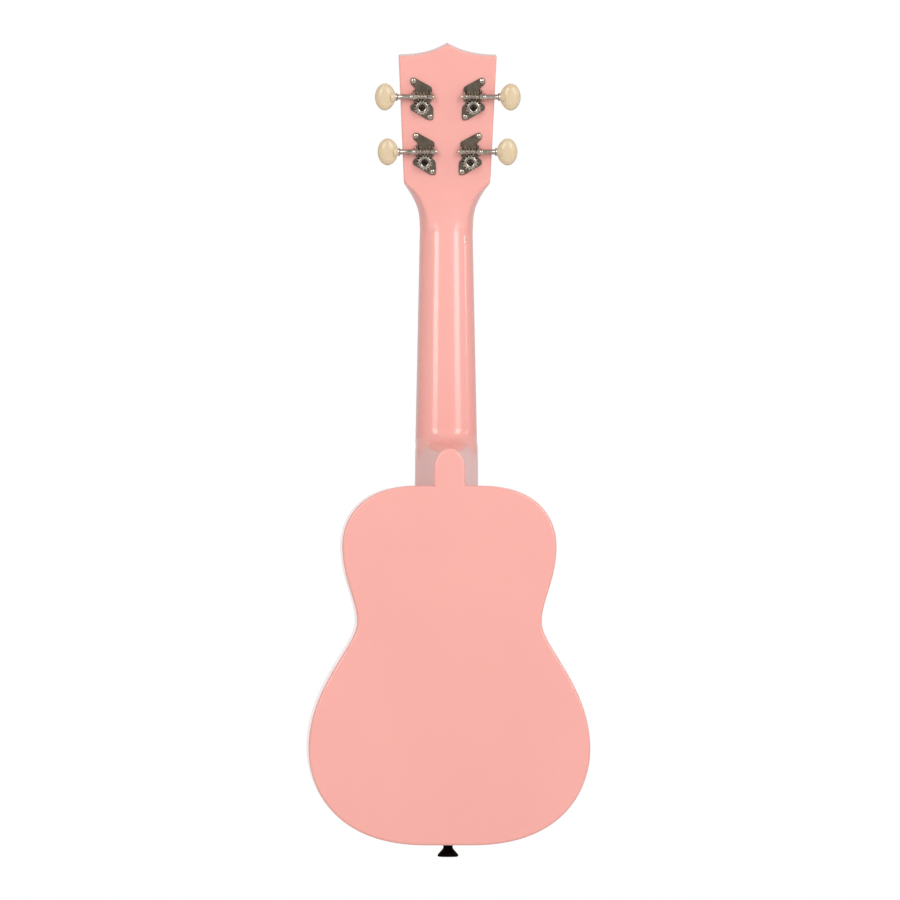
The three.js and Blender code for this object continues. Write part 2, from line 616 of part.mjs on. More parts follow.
function bushingGeometry() {
  const front = HEAD_THICKNESS;
  const bore = POST_RADIUS + 0.2;
  const sleeve = POST_HOLE - GAP;
  const profile = [
    [bore, front - 7], [sleeve, front - 7], [sleeve, front], [5.3, front], [4.9, front + 1.2],
    [bore, front + 1.2],
  ];
  return turned([...profile, profile[0]]);
}

// The string's turns round the post, as one ring.
function windingGeometry(diameter) {
  const [low, high] = WINDING_AT.map((y) => HEAD_THICKNESS + y);
  const [inner, outer] = [WAIST_RADIUS + 0.1, WAIST_RADIUS + 0.15 + diameter];
  return turned([[inner, low], [outer, low], [outer, high], [inner, high], [inner, low]]);
}

function addTuner(row, side) {
  const { x, z, row: level } = POST_ROWS[row];
  const name = (side < 0 ? "left_" : "right_") + level;
  const machine = new THREE.Group();
  machine.position.set(side * x, -HEAD_THICKNESS, z);
  head.add(machine);
  add("tuner_plate_" + name, plateOf(side), NICKEL, machine);
  const shaft = new THREE.Group(); // the worm's axis
  shaft.position.set(0, -WORM_LIFT, WORM_Z);
  machine.add(shaft);
  add("worm_shaft_" + name, wormShaftOf(side), NICKEL, shaft);
  add("tuner_button_" + name, buttonOf(side), CREAM, shaft);
  add("worm_wheel_" + name, gearGeometry(), NICKEL, machine);
  add("wheel_screw_" + name, gearScrewGeometry(), DARK_STEEL, machine);
  add("string_post_" + name, postGeometry(), NICKEL, machine);
  add("post_bushing_" + name, bushingGeometry(), NICKEL, machine);
  const { diameter } = STRINGS.find((s) => s.row === row && Math.sign(s.nut) === side);
  add("string_winding_" + name, windingGeometry(diameter), NYLON, machine);
}

// ---------------------------------------------------------------- strings
// A string is drawn straight from point to point, with one ring of the tube at each point.
class Route extends THREE.Curve {
  constructor(points) {
    super();
    this.points = points;
  }
  getPoint(t, target = v3()) {
    const at = t * (this.points.length - 1);
    const i = Math.min(Math.floor(at), this.points.length - 2);
    return target.lerpVectors(this.points[i], this.points[i + 1], at - i);
  }
  getPointAt(t, target) {
    return this.getPoint(t, target);
  }
  getTangentAt(t, target = v3()) {
    const step = 0.5 / (this.points.length - 1);
    const from = this.getPoint(Math.max(0, t - step));
    return target.copy(this.getPoint(Math.min(1, t + step))).sub(from).normalize();
  }
}

// From the knot in the bridge slot, over the saddle, through the nut slot, to the post's inner side.
function stringRoute({ nut, saddle, diameter, row }) {
  const radius = diameter / 2;
  const { x, z } = POST_ROWS[row];
  const onSaddle = SADDLE_TOP + 0.15 + radius;
  const onNut = NUT_SLOT + 0.15 + radius;
  const beside = x - WAIST_RADIUS - 0.15 - diameter - 0.25 - radius;
  const middle = (WINDING_AT[0] + WINDING_AT[1]) / 2;
  const post = v3(Math.sign(nut) * beside, middle, z).applyMatrix4(head.matrix);
  return [
    v3(saddle, 3.6, BRIDGE.rear + 2),
    v3(saddle, 4.6, BRIDGE.rear + 3.6),
    v3(saddle, 8.3, SADDLE_Z - 4.2),
    v3(saddle, onSaddle, SADDLE_Z - 1.1),
    v3(saddle, onSaddle, SADDLE_Z + 1.1),
    v3(nut, onNut, 0),
    v3(nut, onNut, NUT_LENGTH - 0.6),
    post,
  ];
}

function addStrings() {
  for (const string of STRINGS) {
    const section = new THREE.Shape();
    section.absarc(0, 0, string.diameter / 2, 0, 2 * Math.PI);
    const path = new Route(stringRoute(string));
    const steps = path.points.length - 1;
    const tube = new THREE.ExtrudeGeometry(section, { extrudePath: path, steps, curveSegments: 4 });
    add(string.name, solidOf(tube), NYLON);
  }
}

// ---------------------------------------------------------------- assembly
addPlates();
addSides();
addBlocks();
addLinings();
addBraces();
addBridge();
addNeck();
addFingerboard();
addNut();
addStrapButton();
for (const row of [0, 1]) for (const side of [-1, 1]) addTuner(row, side);
addStrings();

export default ukulele;
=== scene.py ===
"""A pink soprano ukulele, seen from behind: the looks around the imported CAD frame.

Shapes are worked out in millimetres, and mesh_object turns them into metres. X is to the right as seen from
behind, Y runs from the back to the strings, and Z runs up from the nut's lower edge.
"""
import math

import bmesh
import bpy
import numpy as np
from mathutils import Matrix, Vector
from mathutils.geometry import tessellate_polygon


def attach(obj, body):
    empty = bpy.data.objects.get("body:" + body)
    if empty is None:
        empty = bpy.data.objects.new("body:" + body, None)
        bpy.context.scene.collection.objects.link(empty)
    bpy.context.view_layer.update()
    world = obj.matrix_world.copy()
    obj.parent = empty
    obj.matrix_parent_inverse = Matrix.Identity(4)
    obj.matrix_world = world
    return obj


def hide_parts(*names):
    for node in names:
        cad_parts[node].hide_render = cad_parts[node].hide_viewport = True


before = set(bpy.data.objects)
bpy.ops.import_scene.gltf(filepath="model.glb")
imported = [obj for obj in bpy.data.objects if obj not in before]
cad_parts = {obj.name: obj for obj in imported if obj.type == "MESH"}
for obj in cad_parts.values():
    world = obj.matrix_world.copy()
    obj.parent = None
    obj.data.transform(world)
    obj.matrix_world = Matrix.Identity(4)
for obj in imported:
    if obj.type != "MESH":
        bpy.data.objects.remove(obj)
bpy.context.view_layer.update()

MM = 0.001
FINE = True

# ---------------------------------------------------------------- sizes, as in the CAD (mm)
SCALE_LENGTH = 346.0
JOINT_Z = -SCALE_LENGTH / 2
TAIL_Z = -409.0
BODY_DEPTH = 60.0
PLATE = 2.0
SIDE = 1.8
EDGE = 1.6  # radius of the body's rounded edges
SOUNDHOLE_Z, SOUNDHOLE_RADIUS = -234.0, 25.0
NUT_HALF, JOINT_HALF = 17.3, 20.9
NUT_LENGTH = 5.0
BOARD_THICKNESS, BOARD_END = 4.0, JOINT_Z - 8.0
HEAD_TILT = math.radians(8)
HEAD_THICKNESS = 12.0
POSTS = {"lower": (15.1, 37.5), "upper": (17.0, 73.9)}
WORM_LIFT, WORM_Z = 4.4, 7.1
SADDLE_Z, SADDLE_TOP = -347.0, 9.3
BRIDGE_FRONT, BRIDGE_REAR = SADDLE_Z + 5.5, SADDLE_Z - 12.5
NUT_SLOT = 5.2
WAIST, WINDING = 2.6, (4.3, 7.7)  # the post's waist, and where the string winds on it
POST_HOLE = 8.7
STRINGS = {  # name: x at the nut, x at the saddle, diameter, row of its post
    "string_1": (-13.5, -20.5, 0.62, "lower"),
    "string_2": (-4.5, -6.8, 0.80, "upper"),
    "string_3": (4.5, 6.8, 0.86, "upper"),
    "string_4": (13.5, 20.5, 0.62, "lower"),
}
HEAD = Matrix.Translation((0, 0, NUT_LENGTH)) @ Matrix.Rotation(HEAD_TILT, 4, "X")


# ---------------------------------------------------------------- camera and stage
def make_camera():
    """A long lens, a little to the left of straight behind."""
    distance, width, azimuth = 8.0, 0.5904, math.radians(-2)
    target = Vector((0.0003, -0.06, -0.1496))  # the instrument's middle
    data = bpy.data.cameras.new("camera")
    data.sensor_width = 36
    data.lens = data.sensor_width * distance / width
    data.clip_end = 50
    camera = bpy.data.objects.new("camera", data)
    bpy.context.scene.collection.objects.link(camera)
    camera.location = target + distance * Vector((math.sin(azimuth), -math.cos(azimuth), 0))
    camera.rotation_euler = (target - camera.location).to_track_quat("-Z", "Y").to_euler()
    bpy.context.scene.camera = camera


def add_light(name, azimuth, distance, width, low, high, power):
    """An upright soft box, which stands at an azimuth from low to high and faces the instrument."""
    data = bpy.data.lights.new(name, "AREA")
    data.shape = "RECTANGLE"
    data.size, data.size_y = width, high - low
    data.energy = power
    light = bpy.data.objects.new(name, data)
    bpy.context.scene.collection.objects.link(light)
    a = math.radians(azimuth)
    away = Vector((math.sin(a), -math.cos(a), 0))
    light.location = distance * away + Vector((0, 0, (low + high) / 2))
    light.rotation_euler = (-away).to_track_quat("-Z", "Y").to_euler()


ROOM = [(0.0, 0.54), (0.42, 0.48), (0.6, 0.5), (0.93, 0.68), (0.985, 0.7), (0.996, 1.0)]


def make_world():
    """A pale room, with a white wall far behind the instrument.

    ROOM gives its grey against depth, from the camera's side at 0 to that wall at 1.
    """
    world = bpy.data.worlds.new("studio")
    bpy.context.scene.world = world
    world.use_nodes = True
    nodes, links = world.node_tree.nodes, world.node_tree.links
    coords = nodes.new("ShaderNodeTexCoord")
    split = nodes.new("ShaderNodeSeparateXYZ")
    links.new(coords.outputs["Generated"], split.inputs["Vector"])
    depth = nodes.new("ShaderNodeMapRange")
    depth.inputs["From Min"].default_value = -1
    links.new(split.outputs["Y"], depth.inputs["Value"])
    walls = ramp(nodes, links, depth.outputs["Result"], ROOM)
    links.new(walls, nodes["Background"].inputs["Color"])


def make_stage():
    """Two tall soft boxes on the camera's side, two lesser lights, and a pale floor below."""
    make_world()
    bpy.context.scene.view_settings.view_transform = "Standard"
    add_light("box_left", -26, 2.2, 0.56, -0.07, 1.6, 18.5)
    add_light("box_right", 26, 2.2, 0.62, -0.07, 1.6, 18.5)
    add_light("edge_right", 66, 2.2, 0.12, 0.0, 1.2, 6)
    add_light("front_high", 180, 1.2, 1.8, 1.5, 2.6, 12)
    radius, level, sides = 1400, -520, 64
    angles = np.linspace(0, 2 * math.pi, sides, endpoint=False)
    rim = [(radius * math.cos(a), radius * math.sin(a), level) for a in angles]
    paper = plain("floor_paper", (0.82, 0.81, 0.80), 0.8)
    floor = mesh_object("floor", rim, [list(range(sides))], paper)


# ---------------------------------------------------------------- materials
def new_material(name):
    """A new material, its nodes, its links and its shader."""
    material = bpy.data.materials.new(name)
    material.use_nodes = True
    nodes, links = material.node_tree.nodes, material.node_tree.links
    return material, nodes, links, nodes["Principled BSDF"]


def noise(nodes, links, scale, detail=3.0, stretch=(1, 1, 1)):
    """Cloudy noise; a stretch under 1 draws it out along that axis."""
    coords = nodes.new("ShaderNodeTexCoord")
    mapping = nodes.new("ShaderNodeMapping")
    mapping.inputs["Scale"].default_value = stretch
    texture = nodes.new("ShaderNodeTexNoise")
    texture.inputs["Scale"].default_value = scale
    texture.inputs["Detail"].default_value = detail
    links.new(coords.outputs["Object"], mapping.inputs["Vector"])
    links.new(mapping.outputs["Vector"], texture.inputs["Vector"])
    return texture.outputs["Fac"]


def ramp(nodes, links, value, stops):
    """A colour for each value. stops: (position, colour) pairs, where a colour is a number or three."""
    node = nodes.new("ShaderNodeValToRGB")
    elements = node.color_ramp.elements
    while len(elements) < len(stops):
        elements.new(0.5)
    for element, (position, colour) in zip(elements, stops):
        element.position = position
        element.color = (*colour, 1) if isinstance(colour, tuple) else (colour, colour, colour, 1)
    links.new(value, node.inputs["Fac"])
    return node.outputs["Color"]


def feed(nodes, links, shader, socket, value, *stops):
    """Sets one of the shader's inputs by a ramp over a value."""
    links.new(ramp(nodes, links, value, stops), shader.inputs[socket])


def bump(nodes, links, shader, height, distance, strength):
    """Makes the surface uneven, by distance in metres."""
    node = nodes.new("ShaderNodeBump")
    node.inputs["Strength"].default_value = strength
    node.inputs["Distance"].default_value = distance
    links.new(height, node.inputs["Height"])
    links.new(node.outputs["Normal"], shader.inputs["Normal"])


def plain(name, colour, roughness):
    """A matt surface of one colour, faintly mottled."""
    material, nodes, links, shader = new_material(name)
    darker = tuple(0.97 * c for c in colour)
    feed(nodes, links, shader, "Base Color", noise(nodes, links, 60), (0.3, darker), (0.7, colour))
    shader.inputs["Roughness"].default_value = roughness
    return material


def lacquer():
    """Opaque pink paint under a satin clear coat."""
    material, nodes, links, shader = new_material("pink_lacquer")
    deep_pink, pale_pink = (0.848, 0.370, 0.324), (0.868, 0.385, 0.337)
    feed(nodes, links, shader, "Base Color", noise(nodes, links, 9, 2), (0.35, deep_pink), (0.65, pale_pink))
    feed(nodes, links, shader, "Roughness", noise(nodes, links, 55, 4), (0.3, 0.44), (0.7, 0.5))
    shader.inputs["Coat Weight"].default_value = 1.0
    shader.inputs["Coat Roughness"].default_value = 0.13
    bump(nodes, links, shader, noise(nodes, links, 420, 2), 0.00002, 0.5)
    return material


def wood(name, dark, light, roughness, grain=1.0):
    """Wood whose grain runs up the instrument, with fine pores."""
    material, nodes, links, shader = new_material(name)
    rings = noise(nodes, links, 120 * grain, 5, (1, 1, 0.06))
    middle = tuple((a + b) / 2 for a, b in zip(dark, light))
    feed(nodes, links, shader, "Base Color", rings, (0.3, dark), (0.5, middle), (0.72, light))
    pores = noise(nodes, links, 900 * grain, 2, (1, 1, 0.05))
    feed(nodes, links, shader, "Roughness", pores, (0.35, min(1, roughness + 0.2)), (0.6, roughness))
    bump(nodes, links, shader, pores, 0.00012, 0.6)
    return material


def metal(name, colour, dull, roughness):
    """Plated or blackened steel, with a faint uneven tarnish."""
    material, nodes, links, shader = new_material(name)
    patches, smears = noise(nodes, links, 260, 5), noise(nodes, links, 700, 3)
    feed(nodes, links, shader, "Base Color", patches, (0.32, dull), (0.62, colour))
    feed(nodes, links, shader, "Roughness", smears, (0.3, roughness), (0.7, roughness + 0.12))
    shader.inputs["Metallic"].default_value = 1.0
    bump(nodes, links, shader, noise(nodes, links, 1500, 2), 0.00001, 0.5)
    return material


def plastic(name, dark, light, roughness, subsurface=0.0, gloss=0.5):
    """Moulded plastic, a little cloudy."""
    material, nodes, links, shader = new_material(name)
    clouds, smears = noise(nodes, links, 130, 3), noise(nodes, links, 350, 3)
    feed(nodes, links, shader, "Base Color", clouds, (0.3, dark), (0.7, light))
    feed(nodes, links, shader, "Roughness", smears, (0.3, roughness), (0.7, roughness + 0.08))
    shader.inputs["Specular IOR Level"].default_value = gloss
    shader.inputs["Subsurface Weight"].default_value = subsurface
    shader.inputs["Subsurface Scale"].default_value = 0.002
    bump(nodes, links, shader, noise(nodes, links, 900, 2), 0.00001, 0.4)
    return material


# ---------------------------------------------------------------- meshes
def mesh_object(name, vertices, faces, material, smooth=True, matrix=None):
    """A mesh piece from points in mm; matrix places it first. Its normals face out."""
    matrix = matrix or Matrix.Identity(4)
    mesh = bpy.data.meshes.new(name)
    mesh.from_pydata([tuple((matrix @ Vector(v)) * MM) for v in vertices], [], [tuple(f) for f in faces])
    work = bmesh.new()
    work.from_mesh(mesh)
    bmesh.ops.recalc_face_normals(work, faces=work.faces)
    work.to_mesh(mesh)
    work.free()
    mesh.polygons.foreach_set("use_smooth", [smooth] * len(mesh.polygons))
    mesh.materials.append(material)
    piece = bpy.data.objects.new(name, mesh)
    bpy.context.scene.collection.objects.link(piece)
    return piece


def settle(piece, body, slot, *replaced):
    """Makes a piece ride on its body, in place of the CAD nodes replaced. The slot argument is not used."""
    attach(piece, body)
    if replaced:
        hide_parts(*replaced)
    return piece


def sharpen(piece, degrees=35):
    """Smooth shading, but for the edges that turn by more than an angle."""
    work = bmesh.new()
    work.from_mesh(piece.data)
    limit = math.radians(degrees)
    for edge in work.edges:
        edge.smooth = len(edge.link_faces) == 2 and edge.calc_face_angle(0) < limit
    work.to_mesh(piece.data)
    work.free()
    return piece


def bevelled(piece, width, segments=3, degrees=30):
    """Rounds the sharp edges of a piece by width mm, and keeps the mesh."""
    modifier = piece.modifiers.new("bevel", "BEVEL")
    modifier.width = width * MM
    modifier.segments = segments
    modifier.limit_method = "ANGLE"
    modifier.angle_limit = math.radians(degrees)
    modifier.harden_normals = False
    return keep_modifiers(piece)


def keep_modifiers(piece):
    """Turns what a piece's modifiers make into its mesh."""
    depsgraph = bpy.context.evaluated_depsgraph_get()
    depsgraph.update()
    made = bpy.data.meshes.new_from_object(piece.evaluated_get(depsgraph))
    piece.modifiers.clear()
    piece.data = made
    return piece


def carve(piece, *cutters):
    """Cuts closed pieces out of a piece, and removes them."""
    for cutter in cutters:
        modifier = piece.modifiers.new("cut", "BOOLEAN")
        modifier.operation = "DIFFERENCE"
        modifier.solver = "EXACT"
        modifier.object = cutter
    keep_modifiers(piece)
    for cutter in cutters:
        bpy.data.objects.remove(cutter)
    return piece


def cross_cutters(reach, width, low, high, material, matrix):
    """Two crossed bars, which cut the recess in a screw's head."""
    return [
        block("cut", (-reach, low, -width / 2), (reach, high, width / 2), material, matrix),
        block("cut", (-width / 2, low, -reach), (width / 2, high, reach), material, matrix),
    ]


def block(name, lows, highs, material, matrix=None):
    """A box between two opposite corners."""
    (x0, y0, z0), (x1, y1, z1) = lows, highs
    corners = [(x, y, z) for x in (x0, x1) for y in (y0, y1) for z in (z0, z1)]
    faces = [(0, 1, 3, 2), (4, 6, 7, 5), (0, 4, 5, 1), (2, 3, 7, 6), (0, 2, 6, 4), (1, 5, 7, 3)]
    return mesh_object(name, corners, faces, material, smooth=False, matrix=matrix)


def band(first, second, count):
    """Quads between two closed rings of count vertices, which start at the indices first and second."""
    return [(first + i, first + (i + 1) % count, second + (i + 1) % count, second + i) for i in range(count)]


def prism(name, outline, low, high, material, matrix=None):
    """An outline of (x, z) points carried along y from low to high."""
    count = len(outline)
    vertices = [(x, low, z) for x, z in outline] + [(x, high, z) for x, z in outline]
    faces = band(0, count, count)
    flat = tessellate_polygon([[Vector((x, z, 0)) for x, z in outline]])
    faces += [tuple(t) for t in flat] + [tuple(count + i for i in t) for t in flat]
    return mesh_object(name, vertices, faces, material, smooth=False, matrix=matrix)


SWAP_YZ = Matrix(((1, 0, 0, 0), (0, 0, 1, 0), (0, 1, 0, 0), (0, 0, 0, 1)))  # a prism of (x, y) along z


def lathe(name, profile, material, segments=48, matrix=None, radius=None):
    """Turns (radius, height) points about Y. radius(r, y, angle) may shape each point further."""
    angles = np.linspace(0, 2 * math.pi, segments, endpoint=False)
    vertices, rings, faces = [], [], []
    for r, y in profile:
        if r < 1e-6:
            rings.append([len(vertices)])
            vertices.append((0, y, 0))
            continue
        rings.append(list(range(len(vertices), len(vertices) + segments)))
        for a in angles:
            reach = radius(r, y, a) if radius else r
            vertices.append((reach * math.sin(a), y, -reach * math.cos(a)))
    pairs = list(zip(rings, rings[1:]))
    if len(rings[0]) > 1:
        pairs.append((rings[-1], rings[0]))
    for low, high in pairs:
        for i in range(segments):
            j = (i + 1) % segments
            if len(low) == 1:
                faces.append((low[0], high[i], high[j]))
            elif len(high) == 1:
                faces.append((low[i], low[j], high[0]))
            else:
                faces.append((low[i], low[j], high[j], high[i]))
    return mesh_object(name, vertices, faces, material, matrix=matrix)


def rounded(line, radius, steps=4):
    """Rounds the corners of an open line of 2-D or 3-D points; each corner's radius is at most what fits."""
    points = [Vector(p) for p in line]
    out = [points[0]]
    for before, corner, after in zip(points, points[1:], points[2:]):
        reach = min(radius, 0.45 * (before - corner).length, 0.45 * (after - corner).length)
        start = corner + (before - corner).normalized() * reach
        end = corner + (after - corner).normalized() * reach
        for i in range(steps + 1):
            t = i / steps
            out.append((1 - t) ** 2 * start + 2 * t * (1 - t) * corner + t * t * end)
    out.append(points[-1])
    return [tuple(p) for p in out]


def rounded_loop(outline, radius, steps=4):
    """Rounds every corner of a closed outline."""
    loop = [outline[-1], *outline, outline[0]]
    return rounded(loop, radius, steps)[1:-1]


def tube(name, points, radius, material, sides=12, matrix=None):
    """A round tube with closed ends along points in mm."""
    path = [Vector(p) for p in points]
    vertices, faces = [], []
    tangent = (path[1] - path[0]).normalized()
    across = tangent.orthogonal().normalized()
    for i, p in enumerate(path):
        ahead = path[min(i + 1, len(path) - 1)] - path[max(i - 1, 0)]
        tangent = ahead.normalized()
        across = (across - across.dot(tangent) * tangent).normalized()
        other = tangent.cross(across)
        for k in range(sides):
            a = 2 * math.pi * k / sides
            vertices.append(p + radius * (math.cos(a) * across + math.sin(a) * other))
    for i in range(len(path) - 1):
        faces += band(i * sides, (i + 1) * sides, sides)
    faces.append(tuple(range(sides))[::-1])
    faces.append(tuple(range(len(vertices) - sides, len(vertices))))
    return sharpen(mesh_object(name, vertices, faces, material, matrix=matrix), 60)


# ---------------------------------------------------------------- body
TOP_FLAT, TAIL_FLAT = 20.8, 15.2
BODY_CURVES = [
    ((TOP_FLAT, JOINT_Z), (60.2, JOINT_Z), (70.3, -196.4), (70.3, -212.4)),
    ((70.3, -212.4), (70.3, -235.1), (60.6, -247.9), (60.6, -262.6)),
    ((60.6, -262.6), (60.6, -278.4), (92.5, -304.5), (92.5, -345.9)),
    ((92.5, -345.9), (92.5, -369.9), (77.2, TAIL_Z), (TAIL_FLAT, TAIL_Z)),
]


def bezier(control, steps):
    """Points along a cubic curve."""
    a, b, c, d = (np.array(p, float) for p in control)
    t = np.linspace(0, 1, steps + 1)[:, None]
    return (1 - t) ** 3 * a + 3 * t * (1 - t) ** 2 * b + 3 * t * t * (1 - t) * c + t**3 * d


def half_outline(steps=44):
    """From the centre line at the neck, round the right-hand side, to the centre line at the tail."""
    curved = np.vstack([bezier(c, steps)[0 if i == 0 else 1 :] for i, c in enumerate(BODY_CURVES)])
    top = [(x, JOINT_Z) for x in np.linspace(0, TOP_FLAT, 8)[:-1]]
    tail = [(x, TAIL_Z) for x in np.linspace(TAIL_FLAT, 0, 6)[1:]]
    return np.vstack([top, curved, tail])


def body_outline():
    """The whole outline, clockwise, from the centre line at the neck."""
    half = half_outline()
    return np.vstack([half, half[-2:0:-1] * (-1, 1)])


def inset(loop, distance, closed=True):
    """Moves each point of a clockwise outline inwards along its own normal."""
    if closed:
        along = np.roll(loop, -1, 0) - np.roll(loop, 1, 0)
    else:
        along = np.gradient(loop, axis=0)
    along = along / np.linalg.norm(along, axis=1, keepdims=True)
    return loop + distance * np.stack([along[:, 1], -along[:, 0]], 1)


def round_edge(y_face, y_joint, radius, steps=6):
    """(inset, y) stations from a flat face, over its rounded edge, to the joint with the sides."""
    sign = 1 if y_joint > y_face else -1
    stations = [(radius + 0.5, y_face), (radius, y_face)]
    for i in range(1, steps + 1):
        a = math.pi / 2 * i / steps
        stations.append((radius * (1 - math.sin(a)), y_face + sign * radius * (1 - math.cos(a))))
    stations.append((0, y_joint))
    return stations


def hole_wall(vertices, faces, hole, y_face, y_joint, steps=120):
    """Adds a round hole's wall, soft at its outer edge, and returns its outer and its inner rim."""
    centre, radius = hole
    sign = 1 if y_joint > y_face else -1
    rings = [
        (radius + 0.5, y_face),
        (radius + 0.15, y_face + sign * 0.15),
        (radius, y_face + sign * 0.5),
        (radius, y_joint),
    ]
    starts = []
    for r, y in rings:
        starts.append(len(vertices))
        for a in np.linspace(0, 2 * math.pi, steps, endpoint=False):
            vertices.append((r * math.cos(a), y, centre + r * math.sin(a)))
    for low, high in zip(starts, starts[1:]):
        faces.extend(band(low, high, steps))
    return [range(start, start + steps) for start in (starts[0], starts[-1])]


def body_plate(name, y_face, y_joint, outer_paint, inner_wood, hole=None):
    """A plate of the body: flat inside and out, with its outer edge rounded, and perhaps a hole."""
    outline = body_outline()
    vertices, faces = [], []
    count = len(outline)
    stations = round_edge(y_face, y_joint, EDGE) + [(SIDE + 0.5, y_joint)]
    for distance, y in stations:
        vertices += [(x, y, z) for x, z in inset(outline, distance)]
    last = (len(stations) - 1) * count
    for ring in range(0, last, count):
        faces += band(ring, ring + count, count)
    flats = [[range(count)], [range(last, last + count)]]
    if hole:
        for flat, rim in zip(flats, hole_wall(vertices, faces, hole, y_face, y_joint)):
            flat.append(rim)
    for flat in flats:
        inner_start = len(faces)  # the inner flat comes last
        indices = [i for loop in flat for i in loop]
        loops = [[Vector((vertices[i][0], vertices[i][2], 0)) for i in loop] for loop in flat]
        faces += [tuple(indices[k] for k in triangle) for triangle in tessellate_polygon(loops)]
    piece = mesh_object(name, vertices, faces, outer_paint)
    piece.data.materials.append(inner_wood)
    for polygon in piece.data.polygons:
        if polygon.index >= inner_start:
            polygon.material_index = 1
    return sharpen(piece, 50)


def bent_side(name, sign, outer_paint, inner_wood):
    """One side of the body, bent from neck to tail; its inner face is bare."""
    half = half_outline()
    outer = half[half[:, 0] >= 0]
    inner = inset(outer, SIDE, closed=False)
    inner[[0, -1], 0] = 0
    count = len(outer)
    low, high = -BODY_DEPTH + PLATE, -PLATE
    edges = ((outer, low), (outer, high), (inner, high), (inner, low))
    vertices = [(sign * x, y, z) for edge, y in edges for x, z in edge]
    faces = []
    for s in range(4):
        for i in range(count - 1):
            a, b = s * count + i, ((s + 1) % 4) * count + i
            faces.append((a, a + 1, b + 1, b))
    faces += [tuple(s * count for s in range(4)), tuple(s * count + count - 1 for s in range(4))]
    piece = mesh_object(name, vertices, faces, outer_paint)
    piece.data.materials.append(inner_wood)
    for polygon in piece.data.polygons:
        if 2 * (count - 1) <= polygon.index < 3 * (count - 1):
            polygon.material_index = 1
    return sharpen(piece, 50)


def make_body(paint, bare):
    """The back, the soundboard with its hole, and the two sides."""
    back = body_plate("back_plate_painted", -BODY_DEPTH, -BODY_DEPTH + PLATE, paint, bare)
    settle(back, "instrument", "pink_paint", "back_plate")
    hole = (SOUNDHOLE_Z, SOUNDHOLE_RADIUS)
    top = body_plate("soundboard_painted", 0.0, -PLATE, paint, bare, hole)
    settle(top, "instrument", "pink_paint", "soundboard")
    for side, sign in (("left", -1), ("right", 1)):
        piece = bent_side(f"side_{side}_bent", sign, paint, bare)
        settle(piece, "instrument", "pink_paint", f"side_{side}")


# ---------------------------------------------------------------- neck, heel and headstock, in one
SHAFT_DEPTHS = (13.5, 15.5)  # behind the nut, and at the joint
HEEL_HALVES = (9.95, 20.7)  # half its width at the back, and at the fingerboard
HEAD_FLARE = ((17.3, -4.0), (18.2, 5.0), (22.0, 11.5), (28.45, 22.5))
HEAD_CORNER = (32.3, 107.5)
HEAD_CROWN = (HEAD_CORNER, (20.0, 107.5), (10.0, 109.5), (0.0, 115.4))


def smooth_min(a, b, k):
    """Either a or b, blended over a width of k."""
    h = np.clip(0.5 + 0.5 * (b - a) / k, 0, 1)
    return b * (1 - h) + a * h - k * h * (1 - h)


def round_and(a, b, r):
    """Both a and b, with their common edge rounded by r."""
    return np.minimum(np.maximum(a + r, b + r), 0) + np.hypot(np.maximum(a + r, 0), np.maximum(b + r, 0)) - r


def smooth_step(t):
    return t * t * (3 - 2 * t)


def shaft_field(x, y, z, front):
    """The neck's rounded back, which runs out behind the headstock's root."""
    along = np.clip(z / JOINT_Z, 0, 1.1)
    half = NUT_HALF + (JOINT_HALF - NUT_HALF) * along
    depth = SHAFT_DEPTHS[0] + (SHAFT_DEPTHS[1] - SHAFT_DEPTHS[0]) * along
    power = 2.3
    bulge = ((x / half) ** power + (np.maximum(-y, 0) / depth) ** power) ** (1 / power)
    return round_and(round_and((bulge - 1) * 15, z - 24, 8), front, 0.6)


def heel_field(x, y, z):
    """The tongue at the joint, which narrows towards the back and is squarer towards the strings."""
    share = np.clip((y + BODY_DEPTH) / (BODY_DEPTH - 6), 0, 1)
    wide = HEEL_HALVES[0] + (HEEL_HALVES[1] - HEEL_HALVES[0]) * share
    tip = 13 + 2 * share
    start = JOINT_Z + 24.4 + 1.5 * share + 7.5 * share**3 - tip
    beyond = np.maximum(z - start, 0)
    square = 2 + 2.2 * share
    heel = (((x / wide) ** square + (beyond / tip) ** square) ** (1 / square) - 1) * (9 + 8 * share)
    return round_and(round_and(heel, -(y + BODY_DEPTH), 0.9), y, 0.6)


def head_field(x, y, z):
    """The headstock, upright: flared sides, a crowned top, and a chamfer behind that spreads at its root."""
    sides = np.vstack([[(HEAD_FLARE[0][0], -60)], bezier(HEAD_FLARE, 60), [HEAD_CORNER], [(33.2, 133)]])
    side_x = np.interp(z, sides[:, 1], sides[:, 0])
    lean = np.interp(z, sides[:, 1], np.gradient(sides[:, 0], sides[:, 1]))
    crown = bezier(HEAD_CROWN, 60)[::-1]
    top_z = np.interp(x, crown[:, 0], crown[:, 1])
    rise = np.interp(x, crown[:, 0], np.gradient(crown[:, 1], crown[:, 0]))
    beside = (x - side_x) / np.sqrt(1 + lean**2)
    above = (z - top_z) / np.sqrt(1 + rise**2)
    outline = round_and(beside, above, 0.5)
    spread = 1 - smooth_step(np.clip((z - 13) / 17, 0, 1))
    behind = -(y + HEAD_THICKNESS)
    chamfer = 0.93 * outline + 0.37 * behind + 4.0 * spread - 0.5 * (1 - spread)
    head = round_and(round_and(outline, behind, 0.9), chamfer, 0.4 + 1.2 * spread)
    return round_and(round_and(head, y, 0.7), -(z + 10), 4)


